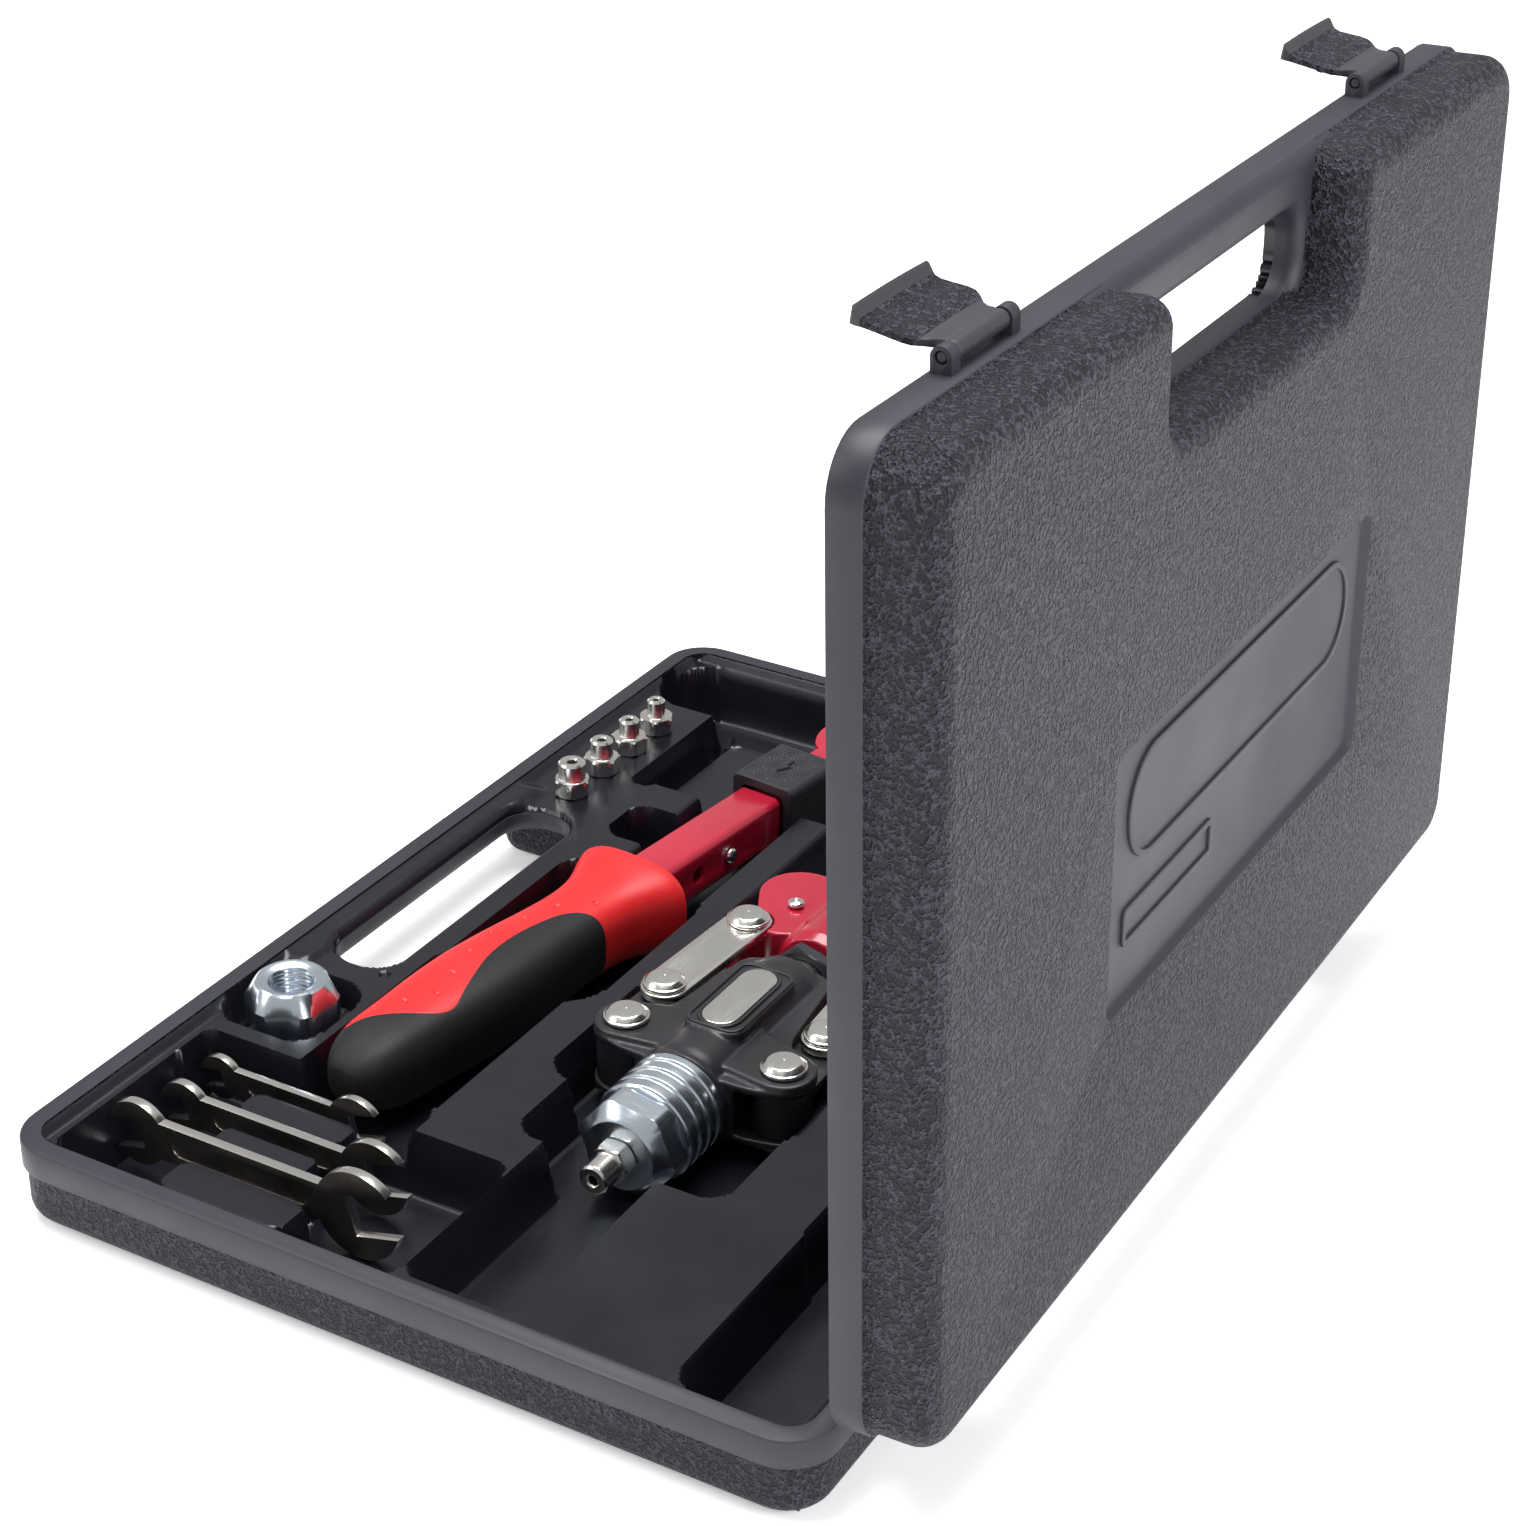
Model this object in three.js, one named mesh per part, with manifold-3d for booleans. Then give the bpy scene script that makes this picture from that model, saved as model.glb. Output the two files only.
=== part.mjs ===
// Lever hand riveter set in a moulded carrying case. Millimetres, +Z up.
// Origin: centre of the case base's underside. X runs along the lid hinge, -Y is the handle side.
import * as THREE from "three";
import { mergeVertices } from "three/addons/utils/BufferGeometryUtils.js";
import Module from "manifold-3d";

const wasm = await Module();
wasm.setup();

// ---------------------------------------------------------------- driving dimensions
const CASE = { width: 400, depth: 277.2, base: 29.2, lid: 28.7, corner: 16, wall: 1.6, edge: 5 };
const LID_OPEN = 88; // degrees between the closed and the open lid
const HINGE = { y: CASE.depth / 2 + 4.5, z: CASE.base, pin: 1.9, knuckle: 4.0 };
const HANDLE = { x0: -57, x1: 60, inner: -98.4, outer: -123.4 };
const TRAY = { top: 26, floor: 4.2, skin: 1.4, side: 190.6, front: -131, back: 131 };
const GAP = 0.3; // clearance between neighbouring pieces

const RIVETER = { y: 19.2, z: 22 };
const EAR = { x: 54, y: 28.5 }; // pivots of the lever roots, from the riveter's axis
const CRANK = { x: 29, y: 29.6 }; // front pins of the link plates
const YOKE = { x: -19.5, y: 26.6 }; // rear pins of the link plates
const LINK = { half: 8, plate: 3, low: 8 };
const PIN = { shank: 4, head: 7.3, top: 11.3, dome: 3.4 };
const TUBE = { r: 9, bore: 5, rear: -62, front: 65.6 };

const ARM = { z: 22, tube: 18, bar: 14, wall: 1.7 };
const ARM_SPREAD = 80.5; // from the riveter's axis to an arm's axis, at x = 0
const ARM_ANGLE = 6.28; // degrees by which the arms spread towards their grips
const NOSE = { y: -112.6, z: 14, flats: 12 };

// ---------------------------------------------------------------- materials
const look = (color, roughness, metalness) =>
  new THREE.MeshStandardMaterial({ color, roughness, metalness });
const shellPlastic = look(0x3d3c44, 0.75, 0);
const trayPlastic = look(0x35343b, 0.5, 0);
const latchPlastic = look(0x3a3940, 0.6, 0);
const crimson = look(0xb3122b, 0.3, 0.1);
const gripRed = look(0xe8262c, 0.45, 0);
const gripBlack = look(0x26262b, 0.6, 0);
const casting = look(0x2f2f36, 0.45, 0.2);
const nickel = look(0xd8d6d0, 0.25, 1);
const zinc = look(0xb9c4cc, 0.3, 1);
const darkSteel = look(0x6b645c, 0.4, 1);
const collarBlack = look(0x303038, 0.6, 0);

// ---------------------------------------------------------------- solids
function solid(geometry) {
  geometry.deleteAttribute("normal");
  geometry.deleteAttribute("uv");
  const merged = mergeVertices(geometry, 1e-4);
  return new wasm.Manifold(
    new wasm.Mesh({
      numProp: 3,
      vertProperties: new Float32Array(merged.attributes.position.array),
      triVerts: new Uint32Array(merged.index.array),
    }),
  );
}

function mesh(name, material, body) {
  const data = body.getMesh();
  const geometry = new THREE.BufferGeometry();
  geometry.setAttribute("position", new THREE.BufferAttribute(data.vertProperties, 3));
  geometry.setIndex(new THREE.BufferAttribute(data.triVerts, 1));
  geometry.computeVertexNormals();
  const piece = new THREE.Mesh(geometry, material);
  piece.name = name;
  return piece;
}

const join = (...parts) => parts.reduce((a, b) => a.add(b));
const cut = (body, ...tools) => tools.reduce((a, b) => a.subtract(b), body);

function prism(shape, z0, z1, segments = 4) {
  const options = { depth: z1 - z0, bevelEnabled: false, curveSegments: segments };
  return solid(new THREE.ExtrudeGeometry(shape, options).translate(0, 0, z0));
}

function roundRect(x0, x1, y0, y1, r) {
  const s = new THREE.Shape();
  s.moveTo(x0 + r, y0);
  s.lineTo(x1 - r, y0);
  s.absarc(x1 - r, y0 + r, r, -Math.PI / 2, 0);
  s.lineTo(x1, y1 - r);
  s.absarc(x1 - r, y1 - r, r, 0, Math.PI / 2);
  s.lineTo(x0 + r, y1);
  s.absarc(x0 + r, y1 - r, r, Math.PI / 2, Math.PI);
  s.lineTo(x0, y0 + r);
  s.absarc(x0 + r, y0 + r, r, Math.PI, 1.5 * Math.PI);
  return s;
}

const block = (x0, x1, y0, y1, z0, z1) =>
  solid(
    new THREE.BoxGeometry(x1 - x0, y1 - y0, z1 - z0).translate(
      (x0 + x1) / 2,
      (y0 + y1) / 2,
      (z0 + z1) / 2,
    ),
  );
const pad = (x0, x1, y0, y1, r, z0, z1, segments = 2) =>
  prism(roundRect(x0, x1, y0, y1, r), z0, z1, segments);

function capsule(ax, ay, ra, bx, by, rb, z0, z1) {
  // two discs and the straight sides that touch both
  const along = Math.atan2(by - ay, bx - ax);
  const lean = Math.acos((ra - rb) / Math.hypot(bx - ax, by - ay));
  const s = new THREE.Shape();
  s.absarc(ax, ay, ra, along + lean, along - lean + 2 * Math.PI);
  s.absarc(bx, by, rb, along - lean, along + lean);
  return prism(s, z0, z1, 3);
}

const rodZ = (r, x, y, z0, z1, sides = 10) =>
  solid(
    new THREE.CylinderGeometry(r, r, z1 - z0, sides)
      .rotateX(Math.PI / 2)
      .translate(x, y, (z0 + z1) / 2),
  );
const rodX = (r, x0, x1, y, z, sides = 14) =>
  solid(
    new THREE.CylinderGeometry(r, r, x1 - x0, sides)
      .rotateZ(Math.PI / 2)
      .translate((x0 + x1) / 2, y, z),
  );
const rodY = (r, x, y0, y1, z, sides = 12) =>
  solid(new THREE.CylinderGeometry(r, r, y1 - y0, sides).translate(x, (y0 + y1) / 2, z));

// a turned body about the X axis, from [x, radius] points
const turned = (profile, sides = 14) =>
  solid(
    new THREE.LatheGeometry(
      profile.map(([x, r]) => new THREE.Vector2(r, x)),
      sides,
    ).rotateZ(-Math.PI / 2),
  );
// a turned body about the Z axis, from [radius, z] points
const turnedZ = (profile, sides = 10) =>
  solid(
    new THREE.LatheGeometry(
      profile.map(([r, z]) => new THREE.Vector2(r, z)),
      sides,
    ).rotateX(Math.PI / 2),
  );

const hexAcross = (flats) => flats / Math.sqrt(3);

// ---------------------------------------------------------------- case shells
// A half shell with a chamfered outer edge, open at z = height.
function halfShell(height) {
  const x = CASE.width / 2;
  const y = CASE.depth / 2;
  const { corner, wall, edge } = CASE;
  const outer = join(
    pad(-x + edge, x - edge, -y + edge, y - edge, corner - edge, 0, edge, 3),
    pad(-x + edge / 3, x - edge / 3, -y + edge / 3, y - edge / 3, corner, edge / 3, height, 3),
    pad(-x, x, -y, y, corner, edge, height, 3),
  );
  const hollow = pad(-x + edge + wall, x - edge - wall, -y + edge + wall, y - edge - wall,
    corner - edge - wall, wall, height + 1, 3);
  return cut(outer, hollow);
}

const SLOT_MARGIN = 4; // wall left around the handle slot
const BAR = { thick: 13, skin: 2 }; // the carrying bar, measured down from the rim
function handleSlot(grow, z0, z1) {
  const { x0, x1, inner, outer } = HANDLE;
  return pad(x0 - grow, x1 + grow, outer - grow, inner + grow, 11 + grow, z0, z1, 3);
}
function handleWall(height) {
  return handleSlot(SLOT_MARGIN, 0, height).intersect(
    block(-200, 200, -CASE.depth / 2 + CASE.edge, 0, 0, height),
  );
}

// the underside of the handle is thinned so that fingers close round the bar
function handleBay(height) {
  return pad(HANDLE.x0 - 3, HANDLE.x1 + 8, -CASE.depth, HANDLE.inner, 14, -1, height - BAR.thick, 3);
}

function shellWithHandle(height) {
  const y = -CASE.depth / 2;
  const bayRoof = pad(HANDLE.x0 - 3 - 2, HANDLE.x1 + 10, y + 2, HANDLE.inner + 3, 14,
    height - BAR.thick, height - BAR.thick + BAR.skin);
  const bayWalls = pad(HANDLE.x0 - 5, HANDLE.x1 + 10, y + 2, HANDLE.inner + 3, 14, 0,
    height - BAR.thick + BAR.skin);
  return cut(join(halfShell(height), handleWall(height), bayWalls, bayRoof),
    handleSlot(0, -1, height + 1), handleBay(height));
}

const KNUCKLES = [-150, 150];
function knuckle(x0, x1, y0) {
  return cut(
    join(
      rodX(HINGE.knuckle, x0, x1, HINGE.y, HINGE.z),
      block(x0, x1, y0, HINGE.y, HINGE.z - 6, HINGE.z - 0.4),
    ),
    rodX(HINGE.pin + GAP, x0 - 1, x1 + 1, HINGE.y, HINGE.z),
  );
}

const RELIEF = HINGE.knuckle + 0.8; // radius left free around the moving knuckle
function makeBaseShell() {
  let body = shellWithHandle(CASE.base);
  for (const x of KNUCKLES) {
    body = body.subtract(rodX(RELIEF, x - 21, x + 21, HINGE.y, HINGE.z));
    body = body.add(knuckle(x - 20, x - 8, CASE.depth / 2 - 3));
    body = body.add(knuckle(x + 8, x + 20, CASE.depth / 2 - 3));
  }
  return body;
}

// The lid is built closed and upside down on the base, then swung open about the hinge.
function lidFrame(body) {
  return body
    .rotate([180, 0, 0])
    .translate([0, 0, CASE.base + CASE.lid + GAP]);
}
const openLid = (body) =>
  body.translate([0, -HINGE.y, -HINGE.z]).rotate([-LID_OPEN, 0, 0]).translate([0, HINGE.y, HINGE.z]);

// the sunk label panel, with the lid closed
const LABEL = { x0: -92, x1: 97, y0: -21.4, y1: 58.6, depth: 2.6 };
function makeLidShell() {
  // mirrored in Y by the half turn about X, so the handle is built on +Y here
  const flipped = shellWithHandle(CASE.lid).mirror([0, 1, 0]);
  let body = lidFrame(flipped);
  const top = CASE.base + CASE.lid + GAP;
  const labelPad = (grow, z0, z1) =>
    pad(LABEL.x0 - grow, LABEL.x1 + grow, LABEL.y0 - grow, LABEL.y1 + grow, 4 + grow, z0, z1);
  body = cut(join(body, labelPad(CASE.wall, top - LABEL.depth - CASE.wall, top - 0.5)),
    labelPad(0, top - LABEL.depth, top + 1));
  for (const x of KNUCKLES) {
    body = body.subtract(rodX(RELIEF, x - 21, x - 7, HINGE.y, HINGE.z));
    body = body.subtract(rodX(RELIEF, x + 7, x + 21, HINGE.y, HINGE.z));
    const leaf = cut(
      join(
        rodX(HINGE.knuckle, x - 7.5, x + 7.5, HINGE.y, HINGE.z),
        block(x - 7.5, x + 7.5, CASE.depth / 2 - 3, HINGE.y, HINGE.z + 0.7, HINGE.z + 6),
      ),
      rodX(HINGE.pin + GAP, x - 9, x + 9, HINGE.y, HINGE.z),
    );
    body = body.add(leaf);
  }
  for (const x of LATCH.x) body = join(body, ...latchLugs(x));
  return openLid(body);
}

// ---------------------------------------------------------------- inner tray
// Pockets: [x0, x1, y0, y1, corner radius, floor height]
const FLOOR = TRAY.floor;
const mirrored = ([x0, x1, y0, y1, ...rest]) => [x0, x1, 2 * RIVETER.y - y1, 2 * RIVETER.y - y0, ...rest];
const TUBE_POCKET = [-140, -28, -70, -35, 5, FLOOR];
const FLARE_POCKET = [-38, 45, -87, -33, 11, FLOOR];
const POCKETS = [
  [-150, 30, -19, 57.4, 8, FLOOR], // riveter's links and yoke
  [20, 80, -21.6, 60, 8, FLOOR], // riveter's head
  [66, 112, -11.6, 58.6, 8, FLOOR], // front housing
  [104, 186, 0.6, 36.6, 5, FLOOR], // nose channel
  [-187.5, -103, -69, 107.4, 10, FLOOR], // ends of both arms
  TUBE_POCKET,
  mirrored(TUBE_POCKET),
  FLARE_POCKET,
  mirrored(FLARE_POCKET),
  [38, 121.5, -89, -40.4, 10, FLOOR], // front grip, butt
  [38, 76, 80, 127, 10, FLOOR], // rear grip, belly
  [68, 122, 90, 129.4, 10, FLOOR], // rear grip, butt
  [-78, -57, -87, -60, 6, FLOOR], // finger room by the tube
  [-155, -97, -94, -60, 6, 15], // low platform
  [-155, -94, -99, -92, 3, 8], // slot behind the nosepieces
  [-188, -155, -129.4, -58, 12, FLOOR], // corner pocket
  [110, 188, 91, 121.6, 6, FLOOR], // finger room by the rear grip
  [118, 131, -125, -40, 3, FLOOR], // small wrench
  [131, 189, -125, -4, 4, FLOOR], // medium and large wrenches
  [73, 108.5, -129.6, -96, 9, 9], // flange nut
];
// Solid blocks left standing inside the pockets: [x0, x1, y0, y1, corner radius, top]
const STANDING = [
  [130.5, 140.5, -90, -54, 2, 21],
  [152.5, 158.5, -85, -54, 2, 21],
  [172, 186, -84, -44, 3, 21],
];
const NOSE_X = [-74, -94, -113, -132];

function pockets(grow, sink) {
  let all = null;
  for (const [x0, x1, y0, y1, r, floor] of POCKETS) {
    const one = pad(x0 - grow, x1 + grow, y0 - grow, y1 + grow, r + grow, floor - sink,
      TRAY.top + 9, 1);
    all = all ? all.add(one) : one;
  }
  for (const [x0, x1, y0, y1, r, top] of STANDING) {
    all = all.subtract(pad(x0 + grow, x1 - grow, y0 + grow, y1 - grow, r - grow / 2, 0, top - sink, 1));
  }
  return all;
}

function makeBaseTray() {
  const { side, front, back, top, skin } = TRAY;
  const under = CASE.wall + GAP;
  const outer = pad(-side, side, front, back, 8, under, top, 2);
  const core = pad(-side + skin, side - skin, front + skin, back - skin, 7, under - 1, top - skin, 2);
  const slotHole = handleSlot(SLOT_MARGIN + GAP, -1, top + 1);
  const slotLining = handleSlot(SLOT_MARGIN + GAP + skin, -1, top + 1);
  const bayTop = CASE.base - BAR.thick + BAR.skin + GAP;
  const bay = pad(HANDLE.x0 - 5 - GAP, HANDLE.x1 + 10 + GAP, -150, HANDLE.inner + 3 + GAP, 14, -1,
    bayTop, 2);
  const bayLining = pad(HANDLE.x0 - 5 - GAP - skin, HANDLE.x1 + 10 + GAP + skin, -150,
    HANDLE.inner + 3 + GAP + skin, 14 + skin, -1, bayTop + skin, 2);
  const drills = NOSE_X.map((x) => rodZ(4.0, x, NOSE.y, 6, top + 1, 12));
  const drillWalls = NOSE_X.map((x) => rodZ(5.4, x, NOSE.y, 5, top, 12));
  const hollow = cut(core, pockets(skin, skin), slotLining, bayLining, ...drillWalls);
  return cut(outer, pockets(0, 0), slotHole, bay, hollow, ...drills);
}

// The lid's inner wall: a shallow tray with a hollow that clears the tools when closed.
function makeLidLiner() {
  const { side, front, back, skin } = TRAY;
  const low = CASE.base + 1.2; // the liner's lower face when the lid is closed
  const high = CASE.base + CASE.lid - CASE.wall - 0.6;
  const roof = CASE.base + 21;
  const outer = pad(-side, side, front, back, 8, low, high, 2);
  const well = pad(-side + 5, side - 5, HANDLE.inner + 9, back - 5, 8, low - 1, roof, 2);
  const wellSkin = pad(-side + 5 - skin, side - 5 + skin, HANDLE.inner + 9 - skin, back - 5 + skin,
    9, low - 1, roof + skin, 2);
  const besideHandle = [[-186, -66], [72, 186]]; // the wells on both sides of the handle
  const sideWells = besideHandle.map(([x0, x1]) =>
    pad(x0, x1, front + skin, HANDLE.inner + 14, 7, low - 1, roof, 4));
  const sideSkins = besideHandle.map(([x0, x1]) =>
    pad(x0 - skin, x1 + skin, front, HANDLE.inner + 14, 8, low - 1, roof + skin, 4));
  const core = pad(-side + skin, side - skin, front + skin, back - skin, 7, low + skin, high + 1, 2);
  const slotHole = handleSlot(SLOT_MARGIN + GAP, 0, 80);
  const slotLining = handleSlot(SLOT_MARGIN + GAP + skin, 0, 80);
  const bayFloor = CASE.base + BAR.thick - BAR.skin - GAP;
  const bay = pad(HANDLE.x0 - 5 - GAP, HANDLE.x1 + 10 + GAP, -150, HANDLE.inner + 3 + GAP, 14,
    bayFloor, 80, 2);
  const bayLining = pad(HANDLE.x0 - 5 - GAP - skin, HANDLE.x1 + 10 + GAP + skin, -150,
    HANDLE.inner + 3 + GAP + skin, 14 + skin, bayFloor - skin, 80, 2);
  const hollow = cut(core, wellSkin, ...sideSkins, slotLining, bayLining);
  return openLid(cut(outer, well, ...sideWells, slotHole, bay, hollow));
}

// ---------------------------------------------------------------- latches
const LATCH = { x: [-134, 134], half: 19, y: -CASE.depth / 2 - 4, z: CASE.base + 4.5, length: 24 };
const LATCH_REST = -10; // degrees it stands out from the clasped position
function makeLatch(x) {
  // clasped shape: a plate hanging down the front of the case from its trunnions
  const { half, y, z, length } = LATCH;
  const face = block(x - half, x + half, y - 2.5, y - 0.4, z - length, z - 5);
  const neck = block(x - half + 6, x + half - 6, y - 2.5, y - 0.4, z - 6, z);
  const root = rodX(2.6, x - half + 6, x + half - 6, y, z);
  const trunnion = rodX(1.4, x - half + 1.5, x + half - 1.5, y, z, 10);
  const hook = block(x - half + 6, x + half - 6, y - 2.5, y + 1.8, z - 14, z - 11.8);
  const lip = block(x - half, x + half, y - 5.5, y - 0.4, z - length, z - length + 2);
  const body = join(face, neck, root, trunnion, hook, lip);
  return body.translate([0, -y, -z]).rotate([LATCH_REST, 0, 0]).translate([0, y, z]);
}
function latchLugs(x) {
  const { half, y, z } = LATCH;
  return [[x - half + 1, x - half + 5.5], [x + half - 5.5, x + half - 1]].map(([x0, x1]) =>
    cut(block(x0, x1, y - 2.6, y + 5, z - 2.8, z + 2.8), rodX(1.4 + GAP, x0 - 1, x1 + 1, y, z, 10)));
}

// ---------------------------------------------------------------- riveter
function headOutline() {
  const s = new THREE.Shape();
  const ear = 10.5;
  s.moveTo(-3, -9);
  s.quadraticCurveTo(-1, -16, 8, -17.5);
  s.lineTo(37, -21);
  s.absarc(EAR.x, -EAR.y, ear, 1.15 * Math.PI, 1.85 * Math.PI);
  s.quadraticCurveTo(66, -22, 67, -18);
  s.lineTo(67, 18);
  s.quadraticCurveTo(66, 22, EAR.x + 9.36, EAR.y - 4.77 + 9.5);
  s.absarc(EAR.x, EAR.y, ear, 0.15 * Math.PI, 0.85 * Math.PI);
  s.lineTo(37, 21);
  s.lineTo(8, 17.5);
  s.quadraticCurveTo(-1, 16, -3, 9);
  return s;
}

function makeHead() {
  const barrel = turned([[-3, 0], [-3, 13], [0, 15.5], [6, 16.6], [61, 16.6], [69, 16.6], [69, 0]], 14);
  const plan = prism(headOutline(), -12.6, 12.6, 3);
  const badgePad = pad(14, 51, -9, 9, 5, 10, 17.6);
  const crankGap = (s) =>
    block(18, 68, s > 0 ? 17.9 : -45, s > 0 ? 45 : -17.9, -LINK.low - 0.2, LINK.low + 0.2);
  const pinHoles = [-1, 1].map((s) => rodZ(PIN.shank + GAP, EAR.x, s * EAR.y, -20, 20));
  return cut(join(barrel, plan, badgePad), crankGap(1), crankGap(-1), ...pinHoles,
    turned([[-5, 0], [-5, TUBE.r + 0.5], [58, TUBE.r + 0.5], [58, 11.3], [72, 11.3], [72, 0]], 14));
}

function makeHousing() {
  const groove = (x) => [[x - 1.2, 17], [x - 0.5, 16.2], [x + 0.5, 16.2], [x + 1.2, 17]];
  return turned([
    [69.4, 13], [69.4, 16.6], [71, 17], ...groove(76), ...groove(82), ...groove(88), [95, 17],
    [103.8, 12.2], [104, 5.3], [99, 5.3], [97.5, 11.6], [72, 12], [69.4, 13],
  ], 16);
}

function makeFittedNose() {
  const hex = solid(new THREE.CylinderGeometry(hexAcross(NOSE.flats), hexAcross(NOSE.flats), 6, 6)
    .rotateZ(Math.PI / 2).translate(107.4, 0, 0));
  const round = turned([[99.5, 1.7], [99.5, 4.9], [110, 4.9], [111.5, 4.9], [118.2, 4.9], [119, 4.2],
    [119, 1.7], [99.5, 1.7]], 12);
  return cut(join(hex, round), turned([[90, 0], [90, 1.75], [125, 1.75], [125, 0]], 12));
}

const makeTube = () =>
  turned([[TUBE.rear, TUBE.bore], [TUBE.rear, TUBE.r], [TUBE.front, TUBE.r], [TUBE.front, TUBE.bore],
    [TUBE.rear, TUBE.bore]], 14);

const makeJawCase = () =>
  turned([[66, 7], [66, 10.6], [84.6, 10.6], [89.6, 7.2], [89.6, 3.4], [85.6, 4.6], [80.6, 7], [66, 7]], 16);

// a jaw is one half of a small cone with a bore for the rivet's mandrel
function makeJaw(side) {
  const cone = turned([[72.6, 1.4], [72.6, 6.4], [80.6, 6.4], [87.1, 3.0], [87.1, 1.4], [72.6, 1.4]], 12);
  const keep = side > 0 ? block(60, 100, 0.3, 10, -10, 10) : block(60, 100, -10, -0.3, -10, 10);
  return cone.intersect(keep);
}

function makeSpring() {
  const turns = 3;
  const path = new THREE.CatmullRomCurve3(
    Array.from({ length: turns * 8 + 1 }, (_, i) => {
      const a = (i * Math.PI) / 4;
      return new THREE.Vector3(67.2 + (i / (turns * 8)) * 4.2, 5.4 * Math.cos(a), 5.4 * Math.sin(a));
    }),
  );
  const wire = new THREE.Shape().absarc(0, 0, 0.55, 0, 2 * Math.PI);
  return solid(new THREE.ExtrudeGeometry(wire, { steps: turns * 6, extrudePath: path,
    curveSegments: 2, bevelEnabled: false }));
}

const makeLockNut = () =>
  cut(
    solid(new THREE.CylinderGeometry(13.6, 13.6, 5, 6).rotateZ(Math.PI / 2).translate(-11.8, 0, 0)),
    turned([[-16, 0], [-16, TUBE.r + 0.2], [-6, TUBE.r + 0.2], [-6, 0]], 14),
  );

function makeYoke() {
  const sides = [-1, 1].map((s) =>
    join(
      capsule(-45, s * 20.6, 14.5, -26, s * 17, 9, -11, 11),
      capsule(-36, s * 20, 10, YOKE.x, s * YOKE.y, 7.6, -LINK.low + 0.4, LINK.low - 0.4),
    ));
  const middle = turned([[-56, 0], [-56, 13.4], [-53, 14.6], [-20, 14.6], [-16, 13], [-16, 0]], 14);
  const linkRoom = [-1, 1].map((s) =>
    join(rodZ(LINK.half + 0.8, YOKE.x, s * YOKE.y, LINK.low - 0.35, 20),
      rodZ(LINK.half + 0.8, YOKE.x, s * YOKE.y, -20, -LINK.low + 0.35)));
  const pinHoles = [-1, 1].map((s) => rodZ(PIN.shank + GAP, YOKE.x, s * YOKE.y, -20, 20));
  const screwSeats = [-1, 1].map((s) => rodZ(1.6, -36, s * 17.6, 4, 20, 12));
  return cut(join(middle, ...sides), ...linkRoom, ...pinHoles, ...screwSeats,
    turned([[-70, 0], [-70, TUBE.r + 0.3], [0, TUBE.r + 0.3], [0, 0]], 14));
}

const makeClampScrew = (s) =>
  join(rodZ(3, -36, s * 17.6, 11.3, 13.3, 12), rodZ(1.3, -36, s * 17.6, 4.5, 11.4, 12));

function makePin(x, y) {
  const { shank, head, top, dome } = PIN;
  return turnedZ([
    [0, -top - dome], [head - 2, -top - dome], [head, -top - 1.2], [head, -top], [shank, -top],
    [shank, top], [head, top], [head, top + 1.2], [head - 2, top + dome], [0, top + dome],
  ], 10).translate([x, y, 0]);
}
// the ear pins' heads sit on the thicker ears
function makeEarPin(s) {
  return turnedZ([
    [0, -15.6], [5.4, -15.6], [7.5, -14], [7.5, -12.9], [4, -12.9], [4, 12.9], [7.5, 12.9],
    [7.5, 14.4], [5.6, 16.2], [0, 16.2],
  ], 10).translate([EAR.x, s * EAR.y, 0]);
}

const OPEN_PIVOT = 1.3; // extra room round the link plates' front pins
function makeLink(s, side) {
  const z0 = side > 0 ? LINK.low : -LINK.low - LINK.plate;
  return cut(
    capsule(CRANK.x, s * CRANK.y, LINK.half, YOKE.x, s * YOKE.y, LINK.half, z0, z0 + LINK.plate),
    rodZ(PIN.shank + OPEN_PIVOT, CRANK.x, s * CRANK.y, -20, 20),
    rodZ(PIN.shank + GAP, YOKE.x, s * YOKE.y, -20, 20),
  );
}

function makeLeverRoot(s) {
  const arm = capsule(EAR.x, s * EAR.y, 9.6, CRANK.x, s * CRANK.y, 7.6, -LINK.low + 0.4, LINK.low - 0.4);
  const socket = block(40, 52, s > 0 ? 31 : -42, s > 0 ? 42 : -31, -5, 5);
  return cut(arm, rodZ(PIN.shank + GAP, EAR.x, s * EAR.y, -20, 20),
    rodZ(PIN.shank + GAP, CRANK.x, s * CRANK.y, -20, 20), socket);
}

// ---------------------------------------------------------------- handle arms, along X
const HOLES = [-72, -54, -36]; // side holes of the outer tube
const square = (half, x0, x1, r, segments = 2) =>
  prism(roundRect(-half, half, -half, half, r), x0, x1, segments).rotate([0, 90, 0]);

function makeInnerBar() {
  const bar = square(ARM.bar / 2, -160, -38, 1.5);
  const fork = pad(-178, -146, -13, 13, 9, -ARM.bar / 2, ARM.bar / 2);
  const neck = cut(fork, rodZ(4.2, -166, 0, -20, 20), block(-185, -157, -20, 20, -2.6, 2.6));
  const buttonSlot = block(HOLES[0] - 5, -30, 4.8, 9, -3.6, 3.6);
  return cut(join(bar, neck), buttonSlot);
}
function makeOuterTube() {
  const body = cut(square(ARM.tube / 2, -102, 60, 2), square(ARM.tube / 2 - ARM.wall, -110, 70, 1));
  return cut(body, ...HOLES.map((x) => rodY(3.2, x, 4, 12, 0)));
}
function makeCollar() {
  const outer = square(13.2, -132, -103.4, 2.4);
  return cut(outer, square(ARM.tube / 2 + 0.4, -129, -90, 2), square(ARM.bar / 2 + 0.4, -140, -120, 1.5));
}
const makeButton = () =>
  join(rodY(2.8, HOLES[0], 7.6, 10.6, 0), rodY(2.0, HOLES[0], 10.5, 11.4, 0));

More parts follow.
